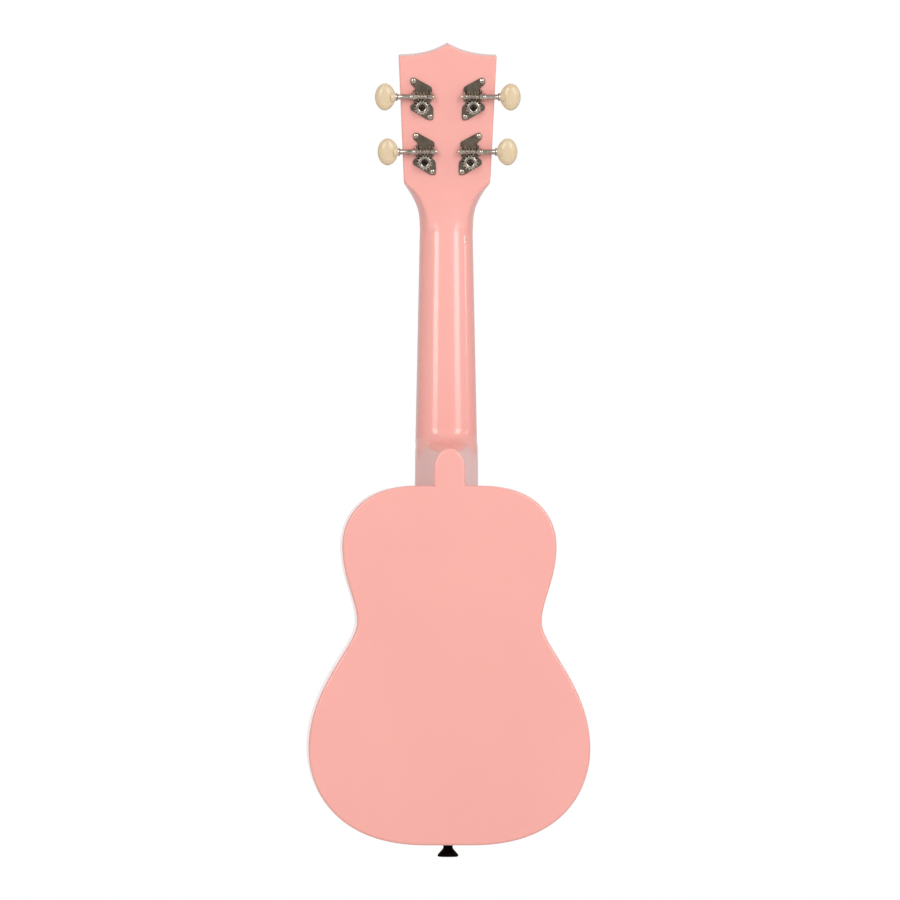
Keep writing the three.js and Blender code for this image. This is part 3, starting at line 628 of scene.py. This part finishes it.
def neck_field(x, y, z):
    """Below 0 inside the neck: its shaft, its heel and the tilted headstock, blended."""
    x = np.abs(x)
    c, s = math.cos(HEAD_TILT), math.sin(HEAD_TILT)
    up = z - NUT_LENGTH
    y_head, z_head = y * c + up * s, up * c - y * s
    shaft = shaft_field(x, y, z, np.maximum(y, y_head))
    deep = np.clip((-y - 4) / 12, 0, 1) * np.clip((z + 164) / 12, 0, 1)
    fillet = 0.6 + 7.5 * smooth_step(deep)
    low = smooth_min(shaft, heel_field(x, y, z), fillet)
    return smooth_min(low, head_field(x, y_head, z_head), 3.0)


def surface_nets(values, origin, step):
    """The zero surface of a sampled field, as one vertex in each cell that it crosses, joined by quads."""
    inside = values < 0
    corners = [(i, j, k) for i in (0, 1) for j in (0, 1) for k in (0, 1)]
    shape = tuple(n - 1 for n in values.shape)

    def part(array, corner):
        return array[tuple(slice(c, c + n) for c, n in zip(corner, shape))]

    count = sum(part(inside, c).astype(np.int8) for c in corners)
    active = (count > 0) & (count < 8)
    cells = np.argwhere(active)
    index = -np.ones(shape, np.int64)
    index[active] = np.arange(len(cells))
    total, crossings = np.zeros((len(cells), 3)), np.zeros(len(cells))
    for a in corners:
        for axis in range(3):
            if a[axis]:
                continue
            b = tuple(v + (i == axis) for i, v in enumerate(a))
            va = values[tuple((cells + a).T)]
            vb = values[tuple((cells + b).T)]
            crossed = (va < 0) != (vb < 0)
            t = np.where(crossed, va / np.where(va == vb, 1, va - vb), 0)
            point = np.array(a, float) + np.outer(t, np.eye(3)[axis])
            total += point * crossed[:, None]
            crossings += crossed
    vertices = origin + step * (cells + total / crossings[:, None])
    quads = []
    for axis in range(3):
        u, v = (axis + 1) % 3, (axis + 2) % 3
        edge = inside != np.roll(inside, -1, axis)
        for other in range(3):
            layers = np.moveaxis(edge, other, 0)
            layers[-1] = False
            if other != axis:
                layers[0] = False
        at = np.argwhere(edge)
        du, dv = np.eye(3, dtype=int)[[u, v]]
        around = (at, at - du, at - du - dv, at - dv)
        quad = np.stack([index[tuple(cell.T)] for cell in around], 1)
        flip = ~inside[tuple(at.T)]
        quad[flip] = quad[flip][:, ::-1]
        quads.append(quad)
    return vertices, np.vstack(quads)


def onto_surface(points, field, rounds=3, h=0.05):
    """Moves points along the field's slope until they lie on its zero surface."""
    for _ in range(rounds):
        value = field(*points.T)
        slope = np.stack(
            [(field(*(points + h * e).T) - field(*(points - h * e).T)) / (2 * h) for e in np.eye(3)], 1
        )
        size = np.maximum((slope**2).sum(1), 0.05)
        points = points - np.clip(value / size, -0.6, 0.6)[:, None] * slope
    return points


def slice_off(piece, point, normal):
    """Cuts a piece at a plane, drops what lies on the normal's side, and closes it."""
    work = bmesh.new()
    work.from_mesh(piece.data)
    cut = bmesh.ops.bisect_plane(
        work,
        geom=work.verts[:] + work.edges[:] + work.faces[:],
        dist=1e-7,
        plane_co=Vector(point) * MM,
        plane_no=normal,
        clear_outer=True,
    )
    edges = [e for e in cut["geom_cut"] if isinstance(e, bmesh.types.BMEdge)]
    bmesh.ops.holes_fill(work, edges=edges, sides=0)
    for edge in edges:
        if edge.is_valid:
            edge.smooth = False
    work.to_mesh(piece.data)
    work.free()


def make_neck(paint):
    """The neck, cut off flat where it meets the body."""
    step = 0.8 if FINE else 1.6
    low, high = np.array([-35.0, -62.5, -178.0]), np.array([35.0, 3.5, 124.0])
    axes = [np.arange(a, b, step) for a, b in zip(low, high)]
    x, y, z = np.meshgrid(*axes, indexing="ij", sparse=True)
    vertices, quads = surface_nets(neck_field(x, y, z), low, step)
    vertices = onto_surface(vertices, neck_field)
    neck = mesh_object("neck_carved", vertices, quads, paint)
    slice_off(neck, (0, 0, JOINT_Z - EDGE + 0.05), (0, 0, -1))
    settle(neck, "instrument", "pink_paint", "neck")


# ---------------------------------------------------------------- fingerboard, frets, nut
def half_width(z):
    """Of the fingerboard, which widens from the nut."""
    return NUT_HALF + (JOINT_HALF - NUT_HALF) * z / JOINT_Z


def fret_z(n):
    """Each fret shortens the string by a twelfth of an octave."""
    return -SCALE_LENGTH * (1 - 2 ** (-n / 12))


def make_fingerboard(dark):
    """A tapered board, from the nut to just over the body."""
    end = BOARD_END
    w0, w1 = half_width(0), half_width(end)
    outline = [(-w0, 0), (w0, 0), (w1, end), (-w1, end)]
    board = prism("fingerboard_wood", outline, 0, BOARD_THICKNESS, dark)
    bevelled(board, 0.35, 3)
    settle(board, "instrument", "dark_wood", "fingerboard")


def make_frets(fret_metal):
    """Twelve crowned wires, whose ends slope down."""
    base, height, half_arc = BOARD_THICKNESS - 0.05, 0.95, 1.25
    low = math.cos(half_arc)
    arc = np.linspace(-half_arc, half_arc, 13)
    section = [(math.sin(a) / math.sin(half_arc), height * (math.cos(a) - low) / (1 - low)) for a in arc]
    count = len(section)
    for n in range(1, 13):
        z = fret_z(n)
        half = half_width(z) - 0.1
        ends = [(-half, 0.85), (-half + 0.5, 1), (half - 0.5, 1), (half, 0.85)]
        vertices = [(x, base + rise * k, z + along * k) for x, k in ends for along, rise in section]
        faces = []
        for ring in range(0, 3 * count, count):
            faces += band(ring, ring + count, count)
        faces += [tuple(range(count)), tuple(range(3 * count, 4 * count))]
        fret = sharpen(mesh_object(f"fret_{n:02d}", vertices, faces, fret_metal), 40)
        settle(fret, "instrument", "nickel")


def make_dots(pearl):
    """Position dots in the board, and small ones in the edge that the player looks down on."""
    top = BOARD_THICKNESS
    face = [(0, top - 1), (2.5, top - 1), (2.5, top + 0.01), (2.35, top + 0.03), (0, top + 0.04)]
    for n in (5, 7, 10):
        z = (fret_z(n) + fret_z(n - 1)) / 2
        dot = lathe(f"position_dot_{n:02d}", face, pearl, 40, Matrix.Translation((0, 0, z)))
        settle(sharpen(dot), "instrument", "ivory_plastic")
        turn = Matrix.Translation((half_width(z), top / 2, z)) @ Matrix.Rotation(-math.pi / 2, 4, "Z")
        side = lathe(f"side_dot_{n:02d}", [(0, -1), (0.9, -1), (0.9, 0.02), (0, 0.04)], pearl, 24, turn)
        settle(sharpen(side), "instrument", "ivory_plastic")


def make_nut(ivory):
    """A block with a round-bottomed slot for each string."""
    top, shoulder = NUT_SLOT + 0.7, 4.9
    outline = [(-NUT_HALF, 0), (-NUT_HALF, shoulder), (-NUT_HALF + 1, top)]
    for nut, _, diameter, _ in sorted(STRINGS.values()):
        r = diameter / 2 + 0.08
        outline.append((nut - r, top))
        for a in np.linspace(math.pi, 2 * math.pi, 7):
            outline.append((nut + r * math.cos(a), NUT_SLOT + r + r * math.sin(a)))
        outline.append((nut + r, top))
    outline += [(NUT_HALF - 1, top), (NUT_HALF, shoulder), (NUT_HALF, 0)]
    nut = prism("nut_slotted", outline, 0, NUT_LENGTH, ivory, SWAP_YZ)
    bevelled(nut, 0.18, 2, 40)
    settle(nut, "instrument", "ivory_plastic", "nut")


# ---------------------------------------------------------------- bridge and saddle
def make_bridge(dark, ivory):
    """A block with low wings, slotted for the saddle, and for each string and its knot."""
    half, tall, wing, shoulder = 38.0, 7.4, 3.2, 3.5
    right = [(29, tall), (33, shoulder), (half, wing), (half, 0)]
    left = [(-x, y) for x, y in reversed(right)]
    outline = rounded_loop(left + right, 1.6, 6)
    bridge = prism("bridge_carved", outline, BRIDGE_REAR, BRIDGE_FRONT, dark, SWAP_YZ)
    cutters = [block("cut", (-22.1, 3.0, SADDLE_Z - 1.05), (22.1, 12, SADDLE_Z + 1.05), dark)]
    for _, x, _, _ in STRINGS.values():
        cutters.append(block("cut", (x - 0.5, 2.4, BRIDGE_REAR - 1), (x + 0.5, 12, SADDLE_Z - 4.5), dark))
        cutters.append(block("cut", (x - 1.5, 2.4, BRIDGE_REAR - 1), (x + 1.5, 5.6, BRIDGE_REAR + 5), dark))
    carve(bridge, *cutters)
    bevelled(bridge, 0.3, 2, 40)
    settle(bridge, "instrument", "dark_wood", "bridge")
    saddle = block("saddle_polished", (-22, 3.2, SADDLE_Z - 1), (22, SADDLE_TOP, SADDLE_Z + 1), ivory)
    bevelled(saddle, 0.45, 4)
    settle(saddle, "instrument", "ivory_plastic", "saddle")


# ---------------------------------------------------------------- strings
def knot_line(x, y, z, size=0.62, steps=60):
    """The line of a simple knot about a point."""
    line = []
    for i in range(steps + 1):
        a = 2 * math.pi * i / steps
        line.append((
            x + size * (math.sin(a) + 2 * math.sin(2 * a)) * 0.5,
            y + size * (math.cos(a) - 2 * math.cos(2 * a)) * 0.5,
            z - size * math.sin(3 * a),
        ))
    return line


def make_strings(nylon):
    """Each from its knot behind the bridge, over saddle and nut, to the inner side of its post's winding."""
    knot_y = 3.9
    for name, (nut, saddle, diameter, row) in STRINGS.items():
        r = diameter / 2
        x, z = POSTS[row]
        beside = math.copysign(1, nut) * (x - WAIST - 0.15 - diameter - 0.25 - r)
        post = HEAD @ Vector((beside, sum(WINDING) / 2, z))
        on_saddle, on_nut = SADDLE_TOP + r, NUT_SLOT + 0.08 + r
        route = [
            (saddle, knot_y, BRIDGE_REAR + 2.2),
            (saddle, 4.6, BRIDGE_REAR + 4.2),
            (saddle, 8.0, SADDLE_Z - 4.2),
            (saddle, on_saddle, SADDLE_Z - 0.7),
            (saddle, on_saddle, SADDLE_Z + 0.7),
            (nut, on_nut, 0.3),
            (nut, on_nut, NUT_LENGTH - 0.5),
            tuple(post),
        ]
        string = tube(f"{name}_strung", rounded(route, 0.7, 5), r, nylon)
        settle(string, "instrument", "nylon", name)
        knot = tube(f"{name}_knot", knot_line(saddle, knot_y, BRIDGE_REAR + 2.0), r, nylon, 10)
        settle(knot, "instrument", "nylon")


# ---------------------------------------------------------------- strap button
def make_strap_button(black, steel):
    """Lathed about the button's own axis, which points down out of the tail."""
    down = Matrix.Translation((0, -BODY_DEPTH / 2, TAIL_Z)) @ Matrix.Rotation(math.pi / 2, 4, "X")
    profile = [
        (1.9, 0.0), (3.85, 0.0), (3.75, -0.5), (3.1, -1.3), (3.05, -2.0), (3.5, -3.2),
        (6.9, -7.0), (6.85, -8.0), (6.0, -8.45), (3.6, -8.45), (3.4, -7.6), (1.9, -7.5),
    ]
    button = lathe("strap_button_moulded", rounded(profile, 0.5), black, 64, down)
    settle(sharpen(button, 50), "instrument", "black_plastic", "strap_button")
    head = [(0, 11), (1.4, 9), (1.4, -7.4), (3.0, -7.4), (2.95, -7.8), (2.3, -8.2), (1.2, -8.38), (0, -8.4)]
    screw = lathe("strap_screw_turned", rounded(head, 0.15), steel, 40, down)
    carve(screw, *cross_cutters(2.1, 0.5, -9, -7.6, steel, down))
    settle(sharpen(screw, 40), "instrument", "dark_steel", "strap_button_screw")


# ---------------------------------------------------------------- tuning machines
TEETH = 14
GEAR_PITCH, WORM_PITCH_RADIUS = 4.7, 2.4
THREAD = 2 * math.pi * GEAR_PITCH / TEETH  # the worm's pitch
PLATE_OUTLINE = [  # outwards and up, from the post
    (7.6, 1.2), (7.6, -1.8), (-4.0, -8.6), (-6.6, -8.9), (-7.6, -7.6), (-7.5, -0.1),
    (-5.2, 2.4), (-5.2, 3.4), (-6.6, 4.2), (-6.6, 13.2), (4.6, 19.3), (6.6, 19.5),
    (7.8, 17.9), (7.2, 14.8), (4.6, 12.9), (4.6, 3.0),
]
PLATE_SCREWS = [(5.6, 17.2), (-5.4, -6.4)]


def wave(phase, land, slope):
    """A smooth tooth: 1 over the land, 0 in the gap, for a phase of 0 to 1 with the tooth at 0."""
    off = abs((phase + 0.5) % 1 - 0.5)
    t = min(1, max(0, (off - land / 2) / slope))
    return 1 - smooth_step(t)


def bent_lug(name, side, out, lean, material, machine):
    """A lug folded up from the plate, narrowing to a round top, with its bend at the foot."""
    foot, top, thick = 0.5, 7.4, 1.0
    path = rounded([(out + lean * 1.6, foot), (out, foot), (out, top)], 1.1, 6)
    vertices, faces = [], []
    columns = 12
    for s, (o, lift) in enumerate(path):
        before, after = path[max(s - 1, 0)], path[min(s + 1, len(path) - 1)]
        d = Vector((after[0] - before[0], after[1] - before[1])).normalized()
        normal = Vector((-d.y, d.x)) * (thick / 2)
        narrow = max(0.0, (lift - 1.5) / (top - 1.5))
        low, high = 3.5 + 1.5 * narrow, 11.4 - 2.0 * narrow
        for face in (1, -1):
            for k in range(columns + 1):
                t = k / columns
                height = lift - 1.4 * (2 * abs(t - 0.5)) ** 4 * narrow**3
                place = (side * (o + face * normal.x), -(height + face * normal.y), low + (high - low) * t)
                vertices.append(place)
    row = 2 * (columns + 1)
    for s in range(len(path) - 1):
        for face in (0, 1):
            for k in range(columns):
                a = s * row + face * (columns + 1) + k
                faces.append((a, a + 1, a + 1 + row, a + row))
        for k in (0, columns):
            a = s * row + k
            faces.append((a, a + columns + 1, a + columns + 1 + row, a + row))
    for s in (0, len(path) - 1):
        for k in range(columns):
            a = s * row + k
            faces.append((a, a + 1, a + columns + 2, a + columns + 1))
    lug = mesh_object(name, vertices, faces, material, matrix=machine)
    return sharpen(lug, 40)


def merge(name, pieces):
    """One piece from several."""
    bpy.ops.object.select_all(action="DESELECT")
    for piece in pieces:
        piece.select_set(True)
    bpy.context.view_layer.objects.active = pieces[0]
    bpy.ops.object.join()
    pieces[0].name = name
    return pieces[0]


def make_plate(name, side, machine, nickel, bright, steel):
    """The stamped plate with its two lugs, and its two screws."""
    outline = [(side * o, z) for o, z in rounded_loop(PLATE_OUTLINE, 1.3, 5)]
    # Painted shade and highlight: the plate takes the darker copy of the nickel, and its lugs and screws
    # take the lighter copy.
    plate = prism("plate", outline, 0, -1.0, nickel, machine)
    bevelled(plate, 0.22, 3, 40)
    sharpen(plate, 40)
    lugs = [bent_lug("lug", side, -6.1, 1, bright, machine), bent_lug("lug", side, 5.2, -1, bright, machine)]
    piece = merge(f"{name}_plate_stamped", [plate, *lugs])
    settle(piece, "instrument", "nickel", f"tuner_plate_{name}")
    dome = [
        (0, 8), (0.7, 7), (1.1, 5), (1.1, -0.8),
        (2.0, -0.95), (1.95, -1.25), (1.5, -1.75), (0.8, -2.02), (0, -2.1),
    ]
    for i, (out, z) in enumerate(PLATE_SCREWS):
        at = machine @ Matrix.Translation((side * out, 0, z)) @ Matrix.Rotation(0.5 + 1.7 * i + side, 4, "Y")
        screw = lathe(f"{name}_wood_screw_{i + 1}", rounded(dome, 0.12), bright, 36, at)
        carve(screw, *cross_cutters(1.15, 0.42, -3, -1.25, steel, at))
        settle(sharpen(screw, 40), "instrument", "nickel")


def make_shaft(name, side, machine, nickel):
    """The worm, its shaft and collar, as one turned piece about X, with a right-handed thread."""
    core, height, reach, run_out, worm_end = 1.65, 1.3, 3.15, 0.8, 4.42
    stations = [
        (0, -8.2), (1.1, -8.2), (1.6, -7.9), (1.7, -7.6), (1.7, -4.6),
        *((core, x) for x in np.arange(-4.4, 4.45, 0.11)),
        (1.7, 4.6), (1.7, 6.4), (2.2, 6.5), (2.3, 6.8), (2.3, 7.6), (2.2, 7.9), (1.75, 8.0), (1.7, 15.6),
        (1.9, 16.1), (2.45, 16.2), (2.65, 16.4), (2.65, 17.3), (2.5, 17.6), (1.2, 17.6), (1.2, 22), (0, 22),
    ]

    def shape(r, y, angle):
        if abs(y) > worm_end:
            return r
        along = side * y  # the lathe's height runs outwards, and the thread is counted along +X
        turn = -angle if side > 0 else angle
        ends = min(1.0, max(0.0, (reach + run_out - abs(y)) / run_out))
        return core + ends * height * wave(along / THREAD - turn / (2 * math.pi), 0.16, 0.24)

    place = machine @ Matrix.Translation((0, -WORM_LIFT, WORM_Z))
    turn = place @ Matrix.Rotation(-side * math.pi / 2, 4, "Z")
    shaft = lathe(f"{name}_worm_turned", stations, nickel, 56, turn, shape)
    settle(sharpen(shaft, 40), f"knob_{name}", "nickel", f"worm_shaft_{name}")


def make_button(name, side, machine, cream):
    """An oval pillow, moulded round the shaft's end."""
    length, height, thick = 13.6, 18.0, 7.4
    start = 17.45
    rings, segments = 40, 72
    vertices, faces = [], []
    centre = start + length / 2
    for i in range(1, rings):
        v = math.pi * i / rings
        for k in range(segments):
            u = 2 * math.pi * k / segments
            across = math.copysign(abs(math.sin(v)) ** 0.72, math.sin(v))
            up = math.copysign(abs(math.cos(v)) ** 0.95, math.cos(v))
            x, z = across * math.cos(u), across * math.sin(u)
            squeeze = 1 - 0.1 * max(0.0, -x)
            out = side * (centre + x * length / 2)
            vertices.append((out, up * thick / 2 * squeeze, z * height / 2 * squeeze))
    top, bottom = len(vertices), len(vertices) + 1
    vertices += [(side * centre, thick / 2, 0), (side * centre, -thick / 2, 0)]
    last = (rings - 2) * segments
    for ring in range(0, last, segments):
        faces += band(ring, ring + segments, segments)
    for k in range(segments):
        faces.append((k, (k + 1) % segments, top))
        faces.append((last + k, last + (k + 1) % segments, bottom))
    place = machine @ Matrix.Translation((0, -WORM_LIFT, WORM_Z))
    pillow = mesh_object("pillow", vertices, faces, cream, matrix=place)
    turn = place @ Matrix.Rotation(-side * math.pi / 2, 4, "Z")
    cone = [(0, start), (2.55, start), (2.9, start + 0.6), (4.6, start + 3.0), (0, start + 4.5)]
    neck = lathe("neck", rounded(cone, 0.3), cream, 40, turn)
    button = merge(f"{name}_button_moulded", [pillow, neck])
    settle(button, f"knob_{name}", "cream_plastic", f"tuner_button_{name}")


def make_wheel(name, machine, nickel, steel):
    """The worm wheel: toothed rings stacked to its rim, a recess for its screw, and a hub."""
    low, high = -WORM_LIFT - 1.4, -WORM_LIFT + 1.4
    seat = low + 1.1  # the recess's floor
    root, tip = 3.95, 5.25
    lead = THREAD / (2 * math.pi * WORM_PITCH_RADIUS) / GEAR_PITCH

    def shape(r, y, angle):
        if r <= root:
            return r
        twist = (y + WORM_LIFT) * lead
        phase = (angle - math.pi + twist) / (2 * math.pi) * TEETH - 0.5
        return root + (r - root) * wave(phase, 0.2, 0.24)

    profile = [
        (0, seat), (2.55, seat), (2.75, seat - 0.1), (2.75, low + 0.3), (2.9, low), (3.7, low),
        (root, low + 0.1), (tip - 0.25, low + 0.1), (tip, low + 0.35),
        (tip, high - 0.35), (tip - 0.25, high - 0.1), (root, high - 0.1),
        (3.6, high), (3.3, high), (3.3, -1.15), (0, -1.15),
    ]
    wheel = lathe(f"{name}_wheel_cut", profile, nickel, TEETH * 14, machine, shape)
    settle(sharpen(wheel, 40), f"post_{name}", "nickel", f"worm_wheel_{name}")
    under, crown = seat + 0.4, seat - 0.85
    head = [(0, under), (2.3, under), (2.3, seat - 0.15), (1.9, seat - 0.55), (1.0, seat - 0.8), (0, crown)]
    screw = lathe(f"{name}_wheel_screw_head", rounded(head, 0.15), steel, 40, machine)
    carve(screw, *cross_cutters(1.35, 0.5, seat - 2, seat - 0.2, steel, machine))
    settle(sharpen(screw, 40), f"post_{name}", "dark_steel", f"wheel_screw_{name}")


def make_post(name, machine, nickel):
    """The string's post, waisted and cross-drilled, in its flanged bushing."""
    front = HEAD_THICKNESS
    profile = [
        (0, -2), (2.0, -2), (2.0, -0.5), (3.0, 0.2), (3.0, front + 3.0), (WAIST, front + 3.9),
        (WAIST, front + 10.1), (3.0, front + 11), (3.0, front + 12.4), (2.5, front + 13), (0, front + 13),
    ]
    post = lathe(f"{name}_post_turned", rounded(profile, 0.35), nickel, 48, machine)
    hole_at = machine @ Matrix.Translation((0, front + POST_HOLE, 0)) @ Matrix.Rotation(math.pi / 2, 4, "Z")
    carve(post, lathe("cut", [(0, -5), (0.75, -5), (0.75, 5), (0, 5)], nickel, 24, hole_at))
    settle(sharpen(post, 40), f"post_{name}", "nickel", f"string_post_{name}")
    flange = [
        (3.2, front - 7), (4.25, front - 7), (4.25, front), (5.3, front),
        (5.3, front + 0.5), (4.9, front + 1.2), (3.2, front + 1.2),
    ]
    bushing = lathe(f"{name}_bushing_turned", rounded(flange, 0.25), nickel, 56, machine)
    settle(sharpen(bushing, 40), "instrument", "nickel", f"post_bushing_{name}")


def make_winding(name, side, machine, nylon, diameter):
    """The string's turns round the post, from where it arrives to its end through the post's hole."""
    front = HEAD_THICKNESS
    r = diameter / 2
    reach, turns, steps = WAIST + 0.12 + r, 2.75, 110
    path = []
    for i in range(steps + 1):
        t = i / steps
        angle = math.pi - side * t * turns * 2 * math.pi
        height = front + 5.2 + 3.0 * min(1, t * 1.15)
        path.append((side * reach * math.cos(angle), height, reach * math.sin(angle)))
    x, _, z = path[-1]
    path += [
        (x * 0.75, front + POST_HOLE - 0.1, z * 0.75),
        (0, front + POST_HOLE, 0),
        (-side * 2.2, front + POST_HOLE, 0),
        (-side * 4.0, front + POST_HOLE + 0.3, 0.3),
    ]
    winding = tube(f"{name}_winding_coiled", rounded(path, 0.5, 2), r, nylon, 10, machine)
    settle(winding, f"post_{name}", "nylon", f"string_winding_{name}")


def make_tuners(nickel, bright, steel, cream, nylon):
    """Four machines, each about its post on the back of the headstock."""
    for row, (x, z) in POSTS.items():
        for word, side in (("left", -1), ("right", 1)):
            name = f"{word}_{row}"
            machine = HEAD @ Matrix.Translation((side * x, -HEAD_THICKNESS, z))
            diameter = next(d for nut, _, d, r in STRINGS.values() if r == row and nut * side > 0)
            make_plate(name, side, machine, nickel, bright, steel)
            # The worm, wheel and post take bright, the lighter copy of the nickel, whose extra brightness is
            # painted highlight.
            make_shaft(name, side, machine, bright)
            make_button(name, side, machine, cream)
            make_wheel(name, machine, bright, steel)
            make_post(name, machine, bright)
            make_winding(name, side, machine, nylon, diameter)


# ---------------------------------------------------------------- the inside keeps its CAD shapes
def finish_inside(bare):
    """Gives the CAD nodes that stay, all of them inside the body, the look of bare wood."""
    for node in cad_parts.values():
        if not node.hide_render:
            node.data.materials.clear()
            node.data.materials.append(bare)


# ---------------------------------------------------------------- assembly
make_camera()
make_stage()
pink = lacquer()
bare_wood = wood("bare_wood", (0.50, 0.33, 0.17), (0.72, 0.53, 0.31), 0.7)
dark_wood = wood("dark_wood", (0.035, 0.016, 0.009), (0.11, 0.055, 0.03), 0.45, 1.4)
# Two copies of one nickel. The first has a darker base colour, painted shade that stands in for dark
# reflections on the plates. The second, lighter copy is painted highlight for lugs, worms, wheels, posts and
# screws.
nickel = metal("nickel_painted_shade", (0.25, 0.203, 0.16), (0.16, 0.128, 0.098), 0.13)
bright_nickel = metal("nickel_painted_highlight", (0.55, 0.49, 0.425), (0.36, 0.31, 0.26), 0.14)
fret_metal = metal("fret_wire", (0.72, 0.70, 0.66), (0.6, 0.58, 0.55), 0.18)
dark_steel = metal("dark_steel", (0.06, 0.045, 0.035), (0.012, 0.009, 0.007), 0.3)
cream = plastic("cream_button", (0.67, 0.53, 0.345), (0.69, 0.55, 0.36), 0.2, 0.1)
ivory = plastic("bone_white", (0.80, 0.74, 0.60), (0.86, 0.81, 0.69), 0.35, 0.1)
pearl = plastic("pearl_dot", (0.78, 0.78, 0.76), (0.92, 0.91, 0.88), 0.2, 0.1)
black = plastic("black_strap_button", (0.002, 0.0018, 0.0015), (0.004, 0.0035, 0.003), 0.5, gloss=0.03)
nylon = plastic("clear_nylon", (0.80, 0.78, 0.72), (0.88, 0.86, 0.80), 0.15, 0.4)

make_body(pink, bare_wood)
make_neck(pink)
make_fingerboard(dark_wood)
make_frets(fret_metal)
make_dots(pearl)
make_nut(ivory)
make_bridge(dark_wood, ivory)
make_strings(nylon)
make_strap_button(black, dark_steel)
make_tuners(nickel, bright_nickel, dark_steel, cream, nylon)
finish_inside(bare_wood)
